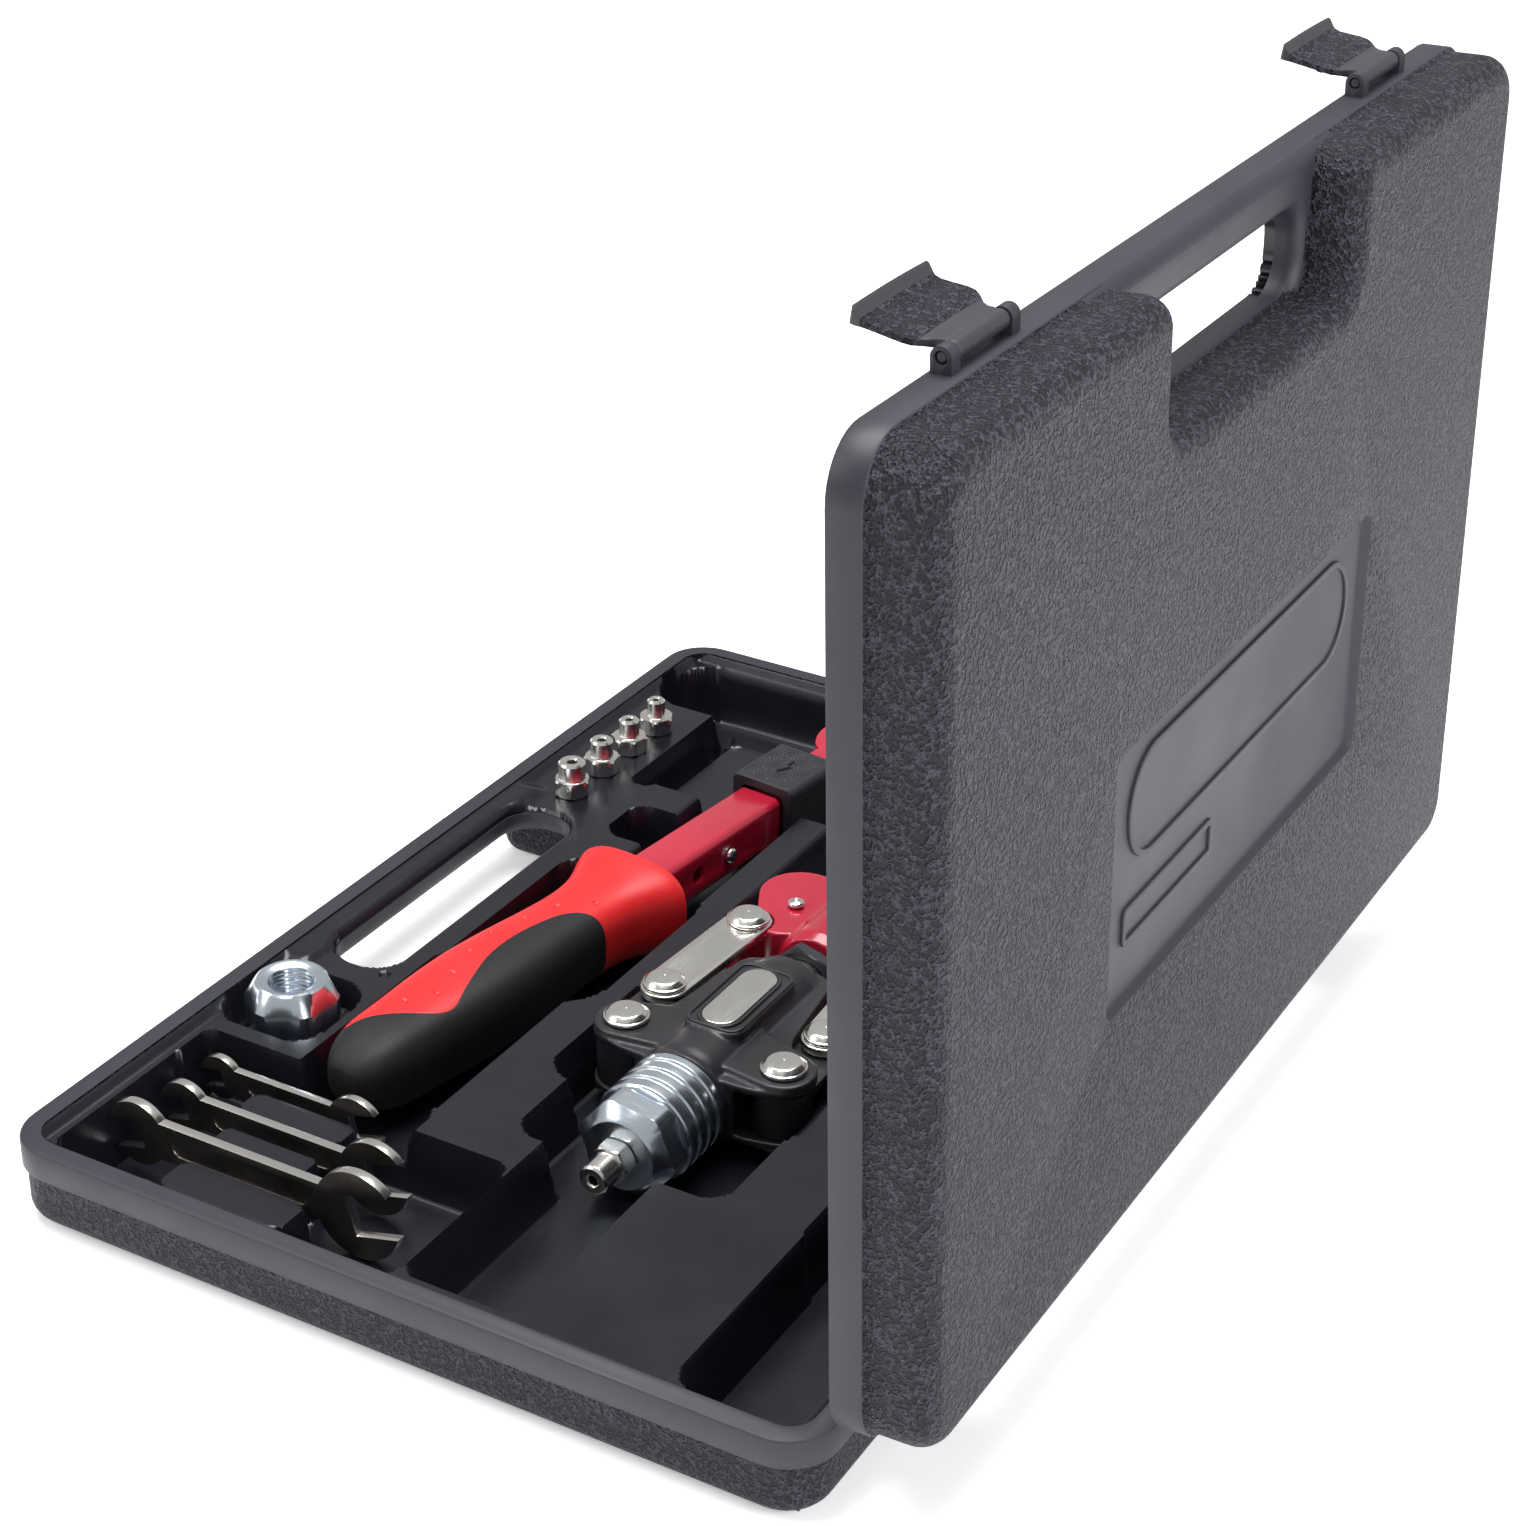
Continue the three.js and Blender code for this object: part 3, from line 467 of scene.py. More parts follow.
def rod(name, x, y, r, z0, z1, *materials, sides=40):
    return prism(name, arc(x, y, r, 0, 360 - 360 / sides, sides), z0, z1, *materials)


def capsule(ax, ay, ra, bx, by, rb, steps=18):
    along = math.degrees(math.atan2(by - ay, bx - ax))
    lean = math.degrees(math.acos((ra - rb) / math.hypot(bx - ax, by - ay)))
    return (arc(ax, ay, ra, along + lean, along - lean + 360, steps)
            + arc(bx, by, rb, along - lean, along + lean, steps))


def join(name, parts, *materials):
    """Several closed bodies as one object."""
    verts, faces = [], []
    for part in parts:
        start = len(verts)
        verts += [tuple(v.co / MM) for v in part.data.vertices]
        faces += [tuple(start + i for i in f.vertices) for f in part.data.polygons]
        drop(part)
    return to_object(name, verts, faces, *materials)


def melt(obj, voxel, smooth):
    """Fuses overlapping bodies and rounds their edges, as a casting is."""
    remesh = obj.modifiers.new("remesh", "REMESH")
    remesh.mode = "VOXEL"
    remesh.voxel_size = voxel * MM
    apply_modifiers(obj)
    relax = obj.modifiers.new("relax", "SMOOTH")
    relax.iterations = smooth
    relax.factor = 0.5
    return apply_modifiers(obj)


# ------------------------------------------------------------------ case shells
NOTCH = {"x0": -60.0, "x1": 67.0, "y": -98.4, "r": 9.0, "mouth": 9.0}
BAR = 13.0  # thickness of the carrying bar, down from the rim


def shell_outline(inset, steps=10):
    """The case's plan, pulled in by inset, with the notch for the carrying bar in its front edge."""
    x, y, r = CASE["x"] - inset, CASE["y"] - inset, max(CASE["corner"] - inset, 2.0)
    points = arc(x - r, y - r, r, 0, 90, steps) + arc(-x + r, y - r, r, 90, 180, steps)
    points += arc(-x + r, -y + r, r, 180, 270, steps)
    x0, x1, back = NOTCH["x0"] - inset, NOTCH["x1"] + inset, NOTCH["y"] + inset
    lip, inner = max(NOTCH["mouth"] - inset, 1.0), NOTCH["r"] + inset
    points += arc(x0 - lip, -y + lip, lip, 270, 360, steps)
    points += arc(x0 + inner, back - inner, inner, 180, 90, steps)
    points += arc(x1 - inner, back - inner, inner, 90, 0, steps)
    points += arc(x1 + lip, -y + lip, lip, 180, 270, steps)
    return points + arc(x - r, -y + r, r, 270, 360, steps)


def shell_profile(height):
    """[inset, z] round the edge of the outer face and up to the rim."""
    r = CASE["edge"]
    foot = [(INSET + r - r * math.sin(t), r - r * math.cos(t)) for t in np.linspace(0, math.pi / 2, 9)]
    step = height - BAND
    return foot + [(INSET, step - 0.9), (INSET - 0.25, step - 0.25), (0.35, step + 0.2), (0.0, step + 0.8),
                   (0.0, height - 1.0), (0.3, height - 0.3), (1.0, height)]


def slot_prism(z0, z1):
    return prism("slot", round_rect(SLOT["x0"], SLOT["x1"], SLOT["y0"], SLOT["y1"], SLOT["r"], 14), z0, z1)


def round_edges(obj, z, radius, segments):
    """Rounds the sharp edges that lie at one height."""
    shape = bmesh.new()
    shape.from_mesh(obj.data)
    edges = [e for e in shape.edges if all(abs(v.co.z - z * MM) < 1e-5 for v in e.verts)
             and len(e.link_faces) == 2 and e.calc_face_angle() > 0.9]
    bmesh.ops.bevel(shape, geom=edges, offset=radius * MM, segments=segments, profile=0.5, affect="EDGES",
                    clamp_overlap=True)
    shape.to_mesh(obj.data)
    shape.free()


def carrying_bar(height):
    """The rounded bar across the notch, with the slot for the fingers behind it."""
    low, high = height - BAR, height
    plate = prism("bar", [(-90, -CASE["y"]), (98, -CASE["y"]), (98, -76), (-90, -76)], low, high, SMOOTH)
    boolean(plate, [slot_prism(-5, height + 5)])
    round_edges(plate, low, 5.2, 7)
    round_edges(plate, high, 1.0, 3)
    keep = box("keep", -80, 88, -CASE["y"] - 5, -97, low - 1, high + 1)
    boolean(plate, [keep], "INTERSECT")
    return plate


def make_shell(name, height):
    """One half of the case, open upwards."""
    rings = [np.array([(x, y, z) for x, y in shell_outline(inset)]) for inset, z in shell_profile(height)]
    body = loft(name, rings, GRAINED, SMOOTH)
    x, y = CASE["x"] - WALL, CASE["y"] - WALL
    wells = [(-x, x, -92.5, y, 8), (-x, -72, -y, -80, 9), (79, x, -y, -80, 9)]
    boolean(body, [prism("well", round_rect(*well), 1.8, height + 5) for well in wells])
    boolean(body, [carrying_bar(height)], "UNION")
    tools = [box("under_tray", -82, 90, -y, -90, height - 4.6, height + 5),
             slot_prism(height - 9, height + 5),
             prism("clear", round_rect(-95, -64.8, -131.2, -90, 3), height - BAR - 0.2, height + 5),
             prism("clear", round_rect(71.2, 100, -131.2, -90, 3), height - BAR - 0.2, height + 5)]
    boolean(body, tools)
    for face in body.data.polygons:
        cx, cy, cz = face.center / MM
        on_bar = NOTCH["x0"] < cx < NOTCH["x1"] and cy < NOTCH["y"] - 0.5 and cz > height - BAR - 0.5
        face.material_index = 1 if cz > height - BAND + 0.1 or on_bar else 0
    return body


def lid_flip(height):
    """Turns a half built upwards into the closed lid, resting on the base."""
    return Matrix.Translation((0, 0, CASE["base"] + GAP + height)) @ Matrix.Scale(-1, 4, (0, 0, 1))


LID_SWING = move(0, *HINGE) @ Matrix.Rotation(-LID_OPEN, 4, "X") @ move(0, -HINGE[0], -HINGE[1])


def knuckles(spans, leaf_low, leaf_high):
    y, z = HINGE
    parts = []
    for x0, x1 in spans:
        barrel = turned("barrel", [(x0, 2.2), (x0, 4.0), (x1, 4.0), (x1, 2.2), (x0, 2.2)], SMOOTH,
                        sides=32, at=(0, y, z), round_by=0.4)
        leaf = bevel(box("leaf", x0, x1, CASE["y"] - 3, y - 2.4, z + leaf_low, z + leaf_high), 0.5, 2)
        parts += [barrel, leaf]
    return parts


base_shell = make_shell("case_base_shell", CASE["base"])
finish_piece(base_shell, "case_base", ["base_shell"], 40)
base_knuckles = join("base_hinge_knuckles",
                     knuckles([(x + a, x + b) for x in HINGE_X for a, b in ((-20, -8), (8, 20))], -6, -0.4),
                     SMOOTH)
finish_piece(base_knuckles, "case_base")

lid_shell = make_shell("case_lid_shell", CASE["lid"])
LABEL = {"x0": -92, "x1": 97, "y0": -21.4, "y1": 58.6, "deep": 2.6}
LID_PLACE = LID_SWING @ lid_flip(CASE["lid"])


def sink_label(shell):
    """A sunk panel with sloping sides in the lid's outer face, backed by a thicker wall."""
    x0, x1, y0, y1, deep = LABEL.values()
    boolean(shell, [box("backing", x0 - 4, x1 + 4, y0 - 4, y1 + 4, 1, 4.6)], "UNION")
    rings = [np.array([(x, y, z) for x, y in round_rect(x0 + g, x1 - g, y0 + g, y1 - g, 3.5)])
             for g, z in ((-0.8, -3), (0, 0), (0.35, 0.3), (0.9, deep - 0.3), (1.3, deep))]
    boolean(shell, [loft("label", rings)])
    shell.data.materials.append(PANEL)
    for face in shell.data.polygons:
        x, y, z = face.center / MM
        if x0 - 1 < x < x1 + 1 and y0 - 1 < y < y1 + 1 and 0.02 < z < deep + 0.1:
            face.material_index = len(shell.data.materials) - 1


sink_label(lid_shell)
finish_piece(transform(lid_shell, LID_PLACE), "lid", ["lid_shell"], 40)


def raised_frames():
    """Blank raised borders on the lid's label panel: a long oval and a small box."""
    pieces = []
    for x0, x1, y0, y1, r in ((-80, 83, -14, 20, 16.9), (22, 84, 30, 42, 2.5)):
        ring = prism("ring", round_rect(x0, x1, y0, y1, r, 14), LABEL["deep"] - 0.9, LABEL["deep"] + 0.6)
        boolean(ring, [prism("inner", round_rect(x0 + 2, x1 - 2, y0 + 2, y1 - 2, r - 2 + 0.1, 14), -1, 5)])
        pieces.append(bevel(ring, 0.3, 2))
    return transform(join("lid_raised_frames", pieces, PANEL), LID_PLACE)


finish_piece(raised_frames(), "lid")
lid_knuckles = join("lid_hinge_knuckles", knuckles([(x - 7.5, x + 7.5) for x in HINGE_X], 0.7, 6), SMOOTH)
finish_piece(transform(lid_knuckles, LID_SWING), "lid")


# ------------------------------------------------------------------ tray and liner as soft reliefs
RIM = (193.0, 131.6)  # half the tray's size


def mirrored(x0, x1, y0, y1, *rest):
    return (x0, x1, 2 * RIVETER[0] - y1, 2 * RIVETER[0] - y0, *rest)


TUBE_POCKET = (-140, -28, -70, -35, 6, FLOOR)
FLARE_POCKET = (-38, 45, -87, -33, 14, FLOOR)
POCKETS = [  # x0, x1, y0, y1, corner radius, floor
    (-150, 30, -19, 57.4, 9, FLOOR),
    (20, 80, -21.6, 60, 9, FLOOR),
    (66, 112, -11.6, 58.6, 8, FLOOR),
    (104, 186, 0.6, 36.6, 4, FLOOR),
    (-187.5, -103, -69, 107.4, 14, FLOOR),
    TUBE_POCKET,
    mirrored(*TUBE_POCKET),
    FLARE_POCKET,
    mirrored(*FLARE_POCKET),
    (38, 121.5, -89, -40.4, 10, FLOOR),
    (38, 76, 80, 127, 10, FLOOR),
    (68, 122, 90, 129.4, 10, FLOOR),
    (-78, -57, -87, -60, 7, FLOOR),
    (-155, -97, -94, -60, 6, 15),
    (-155, -94, -99, -92, 3, 8),
    (-188, -155, -129.4, -58, 15, FLOOR),
    (110, 188, 91, 121.6, 6, FLOOR),
    (118, 131, -125, -40, 3, FLOOR),
    (131, 189, -125, -4, 4, FLOOR),
    (73, 108.5, -129.6, -96, 10, 9),
]
STANDING = [(130, 142.6, -97, -56, 4, 21), (149.4, 161.6, -93, -56, 4, 21), (169.5, 186, -93, -45, 5, 21)]


def distance(x, y, x0, x1, y0, y1, r):
    """Signed distance to a rounded rectangle, negative inside."""
    qx = np.abs(x - (x0 + x1) / 2) - (x1 - x0) / 2 + r
    qy = np.abs(y - (y0 + y1) / 2) - (y1 - y0) / 2 + r
    return np.hypot(np.maximum(qx, 0), np.maximum(qy, 0)) + np.minimum(np.maximum(qx, qy), 0) - r


def smooth(t):
    t = np.clip(t, 0, 1)
    return t * t * (3 - 2 * t)


def relief(name, height_of, step, bottom, material):
    """A closed body whose top is height_of(x, y) on a grid, with a hole where the handle slot is."""
    nx, ny = int(2 * RIM[0] / step) + 1, int(2 * RIM[1] / step) + 1
    x, y = np.meshgrid(np.linspace(-RIM[0], RIM[0], nx), np.linspace(-RIM[1], RIM[1], ny), indexing="ij")
    room = 0.6  # between the slot's wall and the relief
    hole = (SLOT["x0"] - room, SLOT["x1"] + room, SLOT["y0"] - room, SLOT["y1"] + room, SLOT["r"] + room)
    d = distance(x, y, *hole)
    gx = (distance(x + 0.01, y, *hole) - d) / 0.01
    gy = (distance(x, y + 0.01, *hole) - d) / 0.01
    near = np.abs(d) < 0.75 * step
    x, y = np.where(near, x - gx * d, x), np.where(near, y - gy * d, y)
    keep_vertex = (d >= -0.01) | near
    z = height_of(x, y)
    index = np.full((nx, ny), -1)
    corner_ok = keep_vertex[:-1, :-1] & keep_vertex[1:, :-1] & keep_vertex[1:, 1:] & keep_vertex[:-1, 1:]
    centre = distance((x[:-1, :-1] + x[1:, 1:]) / 2, (y[:-1, :-1] + y[1:, 1:]) / 2, *hole)
    cells = np.argwhere(corner_ok & (centre > 0))
    used = np.zeros((nx, ny), bool)
    for di, dj in ((0, 0), (1, 0), (1, 1), (0, 1)):
        used[cells[:, 0] + di, cells[:, 1] + dj] = True
    index[used] = np.arange(used.sum())
    verts = np.stack([x[used], y[used], z[used]], 1)
    i, j = cells[:, 0], cells[:, 1]
    faces = np.stack([index[i, j], index[i + 1, j], index[i + 1, j + 1], index[i, j + 1]], 1)
    obj = to_object(name, verts, faces.tolist(), material)
    close_below(obj, bottom)
    return obj


def over_bar(x, y):
    return -64.5 < x < 71 and y < -93.2


def close_below(obj, bottom):
    """Gives a sheet side walls down to an underside, which is higher over the carrying bar."""
    shape = bmesh.new()
    shape.from_mesh(obj.data)
    sheet = shape.faces[:]
    under = bmesh.ops.duplicate(shape, geom=sheet)
    pairs = {old: new for old, new in under["vert_map"].items() if isinstance(old, bmesh.types.BMVert)}
    rim_edges = [e for f in sheet for e in f.edges if e.is_boundary]
    for new in under["geom"]:
        if isinstance(new, bmesh.types.BMVert):
            high = bottom[1] if over_bar(new.co.x / MM, new.co.y / MM) else bottom[0]
            new.co.z = high * MM
    for edge in rim_edges:
        a, b = edge.verts
        order = list(edge.link_faces[0].verts)
        if order[(order.index(a) + 1) % len(order)] is not b:
            a, b = b, a
        shape.faces.new((b, a, pairs[a], pairs[b]))
    bmesh.ops.reverse_faces(shape, faces=[f for f in under["geom"] if isinstance(f, bmesh.types.BMFace)])
    shape.to_mesh(obj.data)
    shape.free()


def tray_height(x, y):
    z = np.full(x.shape, TRAY_TOP)
    for x0, x1, y0, y1, r, floor in POCKETS:
        d = distance(x, y, x0, x1, y0, y1, r)
        z = np.minimum(z, floor + (TRAY_TOP - floor) * smooth((d + 1.4) / 3.4))
    for x0, x1, y0, y1, r, high in STANDING:
        d = distance(x, y, x0, x1, y0, y1, r)
        z = np.maximum(z, high - (high - FLOOR) * smooth((d + 1.2) / 2.4))
    for hx in NOSE_X:
        d = np.hypot(x - hx, y - NOSE_Y) - 4.0
        z = np.minimum(z, 7.5 + (TRAY_TOP - 7.5) * smooth((d + 0.5) / 1.6))
    bar = smooth((SLOT["y0"] + 4 - y) / 5)
    bar = bar * smooth((x - SLOT["x0"] + 16) / 8) * smooth((SLOT["x1"] + 16 - x) / 8)
    z = np.where(z > TRAY_TOP - 1, z + 2.6 * bar, z)
    lip = distance(x, y, SLOT["x0"], SLOT["x1"], SLOT["y0"], SLOT["y1"], SLOT["r"])
    z = z - 4.0 * (1 - np.sqrt(np.clip(1 - (1 - np.clip(lip / 4.0, 0, 1)) ** 2, 0, 1)))
    strip = distance(x, y, -75, -10, -29.5, -20, 2)
    z = np.where(z > TRAY_TOP - 1, z - 0.7 * smooth((0.8 - strip) / 1.6), z)
    z = z - 3.5 * smooth((2.0 - np.hypot(x - 62, y + 97.5)) / 1.2)
    edge = np.minimum(RIM[0] - np.abs(x), RIM[1] - np.abs(y))
    rise = smooth(1 - edge / 3.0)
    return np.where(z > TRAY_TOP - 1, np.maximum(z, TRAY_TOP + 2.7 * rise), z)


GRID = 1.0  # spacing of the reliefs' points
tray = relief("case_base_tray", tray_height, GRID, (2.0, 24.7), TRAY)
finish_piece(tray, "case_base", ["base_tray"], 50)


def liner_height(x, y):
    """The lid's inside, built like the tray: a wide well with low ribs across the middle of its floor."""
    top, floor = 27.6, 9.0
    z = np.full(x.shape, top)
    wells = ((-186, 186, -88, 126.5, 12), (-186, -66, -130, -70, 5), (72, 186, -130, -70, 5))
    for x0, x1, y0, y1, r in wells:
        z = np.minimum(z, floor + (top - floor) * smooth((distance(x, y, x0, x1, y0, y1, r) + 1) / 2.6))
    rib = np.exp(-((np.mod(x + 31, 62) - 31) / 2.2) ** 2)
    rib = rib * smooth((-60 - distance(x, y, -190, 190, -20, 130, 10)) / 20)
    return z + 1.2 * rib * (z < floor + 2)


liner = relief("case_lid_liner", liner_height, GRID * 1.5, (5.0, 24.2), TRAY)
finish_piece(transform(liner, LID_PLACE), "lid", ["lid_liner"], 50)

# ------------------------------------------------------------------ latches
LATCH_X = (-134, 134)
LATCH_Y, LATCH_Z = -142.6, 33.7
LATCH_REST = math.radians(-10)
ACROSS = Matrix(((0, 0, 1, 0), (1, 0, 0, 0), (0, 1, 0, 0), (0, 0, 0, 1)))  # turns x, y, z into z, x, y
PEBBLED = plastic_grained()
PEBBLED.name = "latch_grained"


def latch_line():
    """The outer face and thickness of the clasped latch, down from its root: [z, y, thick, half width]."""
    rows = np.array([
        (0.2, -2.5, 4.9, 13), (-2.2, -2.55, 4.2, 13), (-4.0, -2.2, 2.6, 13.4), (-5.8, -1.9, 2.1, 15),
        (-8, -2.1, 2.0, 17.6), (-10, -2.5, 2.0, 18.8), (-12.5, -2.6, 2.0, 18.9), (-16, -2.5, 2.0, 18.5),
        (-19, -2.45, 2.0, 18.3), (-20.8, -2.8, 2.3, 18.4), (-22, -3.9, 3.4, 18.7), (-23, -5.0, 4.4, 18.9),
        (-23.7, -5.4, 4.8, 18.6), (-24, -5.1, 4.4, 17.6)])
    t = np.linspace(0, len(rows) - 1, 53)
    return np.stack([np.interp(t, range(len(rows)), rows[:, k]) for k in range(4)], 1)


def make_latch(x):
    line = latch_line()
    rows, cols = len(line), 31
    across = np.linspace(-1, 1, cols)
    crown = 0.35 * (1 - across ** 2)
    front, back = [], []
    for z, y, thick, half in line:
        front.append(np.stack([across * half, np.full(cols, y) + 0.35 - crown, np.full(cols, z)], 1))
        back.append(np.stack([across * half, np.full(cols, y + thick), np.full(cols, z)], 1))
    verts = np.concatenate(front + back)
    half_count = rows * cols
    faces = []
    for i in range(rows - 1):
        for j in range(cols - 1):
            a = i * cols + j
            faces.append((a, a + cols, a + cols + 1, a + 1))
            b = a + half_count
            faces.append((b, b + 1, b + cols + 1, b + cols))
        for j in (0, cols - 1):
            a, b = i * cols + j, i * cols + j + half_count
            faces.append((a, b, b + cols, a + cols))
    for j in range(cols - 1):
        for i in (0, rows - 1):
            a, b = i * cols + j, i * cols + j + half_count
            faces.append((a, a + 1, b + 1, b))
    plate = outward(to_object("latch_plate", verts, faces, LATCH, PEBBLED))
    bevel(plate, 0.55, 3, 50)
    for face in plate.data.polygons:
        z = face.center.z / MM
        face.material_index = 1 if -21 < z < -7 else 0
    root = turned("root", cylinder(-13, 13, 2.6), LATCH, sides=32, round_by=0.5)
    trunnion = turned("trunnion", cylinder(-17.5, 17.5, 1.4), LATCH, sides=24, round_by=0.3)
    hook = bevel(box("hook", -13, 13, -0.6, 1.8, -14, -11.8), 0.5, 2)
    index = [f.material_index for f in plate.data.polygons]
    name = "latch_left" if x < 0 else "latch_right"
    obj = join(name + "_piece", [plate, root, trunnion, hook], LATCH, PEBBLED)
    for face, material in zip(obj.data.polygons, index):
        face.material_index = material
    transform(obj, LID_SWING @ move(x, LATCH_Y, LATCH_Z) @ Matrix.Rotation(LATCH_REST, 4, "X"))
    return finish_piece(obj, name, ["latch_1" if x < 0 else "latch_2"], 40)


for latch_x in LATCH_X:
    make_latch(latch_x)


def latch_lugs():
    parts = []
    for x in LATCH_X:
        for a, b in ((x - 18, x - 13.5), (x + 13.5, x + 18)):
            lug = prism("lug", capsule(LATCH_Y, LATCH_Z, 2.8, LATCH_Y + 6, LATCH_Z, 2.8), a, b)
            outward(transform(lug, ACROSS))
            hole = turned("hole", cylinder(a - 1, b + 1, 1.7), SMOOTH, sides=24, at=(0, LATCH_Y, LATCH_Z))
            boolean(lug, [hole])
            parts.append(bevel(lug, 0.4, 2))
    return transform(join("lid_latch_lugs", parts, SMOOTH), LID_SWING)


finish_piece(latch_lugs(), "lid")

# ------------------------------------------------------------------ riveter
# x and distance from the axis of the pins in the head's ears, the levers' cranks and the yoke's arms
EAR, CRANK, YOKE = (54.0, 28.5), (29.0, 29.6), (-19.5, 26.6)
SCREW = (-36, 17.6)  # the same for the yoke's clamp screws
TO_RIVETER = move(0, *RIVETER)


def smooth_outline(points, radius):
    """Rounds every corner of a closed outline."""
    points = [np.array(p, float) for p in points]
    out = []
    for a, b, c in zip(points[-1:] + points[:-1], points, points[1:] + points[:1]):
        reach = min(radius, np.linalg.norm(a - b) * 0.45, np.linalg.norm(c - b) * 0.45)
        start = b + (a - b) / np.linalg.norm(a - b) * reach
        end = b + (c - b) / np.linalg.norm(c - b) * reach
        for t in np.linspace(0, 1, 6):
            out.append((1 - t) ** 2 * start + 2 * t * (1 - t) * b + t * t * end)
    return [tuple(p) for p in out]


def bore(name, x0, x1, r):
    return turned(name, cylinder(x0, x1, r), CAST, sides=64)


def pin_rod(pin, s, r, z0=-20, z1=20):
    """A rod on the axis of one of the pins, on side s."""
    return rod("pin", pin[0], s * pin[1], r, z0, z1)


def fuse(obj, name, voxel, smooth_steps, material, cuts):
    """Melts a casting, cuts its bores after that, and leaves it with one material."""
    melt(obj, voxel, smooth_steps)
    boolean(obj, cuts)
    obj.name = name
    obj.data.materials.clear()
    obj.data.materials.append(material)
    return transform(obj, TO_RIVETER)


def make_head():
    plan = [(-3, -11), (1, -16.5), (8, -17.5), (37, -21.5), (44, -27), (44, -34), (50, -38.6),
            (58, -38.6), (64, -34), (66.5, -24), (67, -18)]
    plan = smooth_outline(plan + [(x, -y) for x, y in plan[::-1]], 4)
    line = [(-3, AXIS), (-3, 12), (0.5, 15.6), (6, 16.6), (63, 16.6), (66.5, 16), (67.6, 16.6), (69, 16.6),
            (69, AXIS), (-3, AXIS)]
    barrel = turned("barrel", line, CAST, sides=96)
    web = prism("web", plan, -10.6, 10.6)
    ears = [prism("ear", capsule(EAR[0], s * EAR[1], 10.4, 50, s * 12, 12), -12.5, 12.5) for s in (-1, 1)]
    pad = prism("pad", round_rect(11, 52, -10.5, 10.5, 5), 8, 17.0)
    boolean(barrel, [web, *ears, pad], "UNION")
    boolean(barrel, [box("gap", 18, 68, y0, y1, -8.2, 8.2) for y0, y1 in ((17.9, 46), (-46, -17.9))])
    cuts = [pin_rod(EAR, s, 4.4) for s in (-1, 1)]
    cuts += [bore("bore_rear", -5, 58, 9.5), bore("bore_front", 57.9, 72, 11.3)]
    return finish_piece(fuse(barrel, "riveter_head", 0.55, 6, CAST, cuts), "riveter", ["head_body"], 55)


make_head()


def badge():
    """A blank pill-shaped plate with a raised border, in a shallow frame on the head."""
    plate = bevel(prism("plate", capsule(20.5, 0, 6.2, 43.5, 0, 6.2), 16.4, 17.9), 0.35, 3)
    return finish_piece(transform(join("badge_plate", [plate], NICKEL), TO_RIVETER), "riveter")


def badge_frame():
    ring = prism("ring", round_rect(11.6, 51.4, -10, 10, 4.6), 16.2, 17.55)
    boolean(ring, [prism("inner", round_rect(13, 50, -8.6, 8.6, 3.4), 10, 20)])
    rim = prism("rim", capsule(20.5, 0, 7.6, 43.5, 0, 7.6), 16.2, 17.75)
    boolean(rim, [prism("inner", capsule(20.5, 0, 6.3, 43.5, 0, 6.3), 10, 20)])
    parts = [bevel(ring, 0.4, 3), bevel(rim, 0.4, 3)]
    return finish_piece(transform(join("badge_frame", parts, CAST), TO_RIVETER), "riveter")


badge()
badge_frame()


def make_housing():
    def groove(x):
        return [(x - 1.0, 17), (x - 0.45, 16.1), (x + 0.45, 16.1), (x + 1.0, 17)]
    line = [(69.4, 12.6), (69.4, 16.4), (70.2, 17), *groove(74), *groove(79.5), *groove(85), (89.6, 17),
            (90.2, 16.2), (91.2, 16.2), (91.6, 16.9), (99.6, 16.9), (103.4, 12.6), (104, 11.8), (104, 5.2),
            (99, 5.2), (97.5, 11.6), (72, 12.0), (69.4, 12.6)]
    flats = hexagon(30.4, 0.15)

    def shape(along, radius, angle):
        return np.where((along > 91.4) & (radius > 12), flats(along, radius, angle), radius)
    obj = turned("riveter_housing", line, ZINC, sides=120, shape=shape, round_by=0.25)
    return finish_piece(transform(obj, TO_RIVETER), "riveter", ["front_housing"], 25)


make_housing()


def make_fitted_nose():
    line = [(99.6, 1.75), (99.6, 4.7), (100.3, 4.9), (104.4, 4.9), (104.4, 6.2), (105, 6.95), (109.6, 6.95),
            (110.4, 6.1), (110.4, 5.0), (118.1, 5.0), (119, 4.3), (119, 2.2), (118.4, 1.75), (99.6, 1.75)]
    limit = hexagon(12)

    def shape(along, radius, angle):
        return np.where(radius > 5.3, limit(along, radius, angle), radius)
    obj = turned("nosepiece_fitted", line, NICKEL, sides=96, shape=shape, round_by=0.2)
    return finish_piece(transform(obj, TO_RIVETER), "riveter", ["fitted_nosepiece"], 30)


make_fitted_nose()

TUBE_LINE = [(-62, 5), (-62, 8.4), (-61.4, 9), (65, 9), (65.6, 8.4), (65.6, 5), (-62, 5)]
tube = turned("pull_tube_bright", TUBE_LINE, NICKEL, sides=80, round_by=0.3)
finish_piece(transform(tube, TO_RIVETER), "pull_rod", ["pull_tube"], 30)


def make_lock_nut():
    limit = hexagon(23.4, 0.3)
    line = [(-14.3, 9.2), (-14.3, 11.2), (-13.4, 12.9), (-13.2, 13.5), (-10.3, 13.5), (-10.1, 12.9),
            (-9.3, 11.2), (-9.3, 9.2), (-14.3, 9.2)]
    obj = turned("rod_lock_nut", line, KNURL, sides=96, shape=limit, round_by=0.2)
    return finish_piece(transform(obj, TO_RIVETER), "pull_rod", ["lock_nut"], 30)


make_lock_nut()


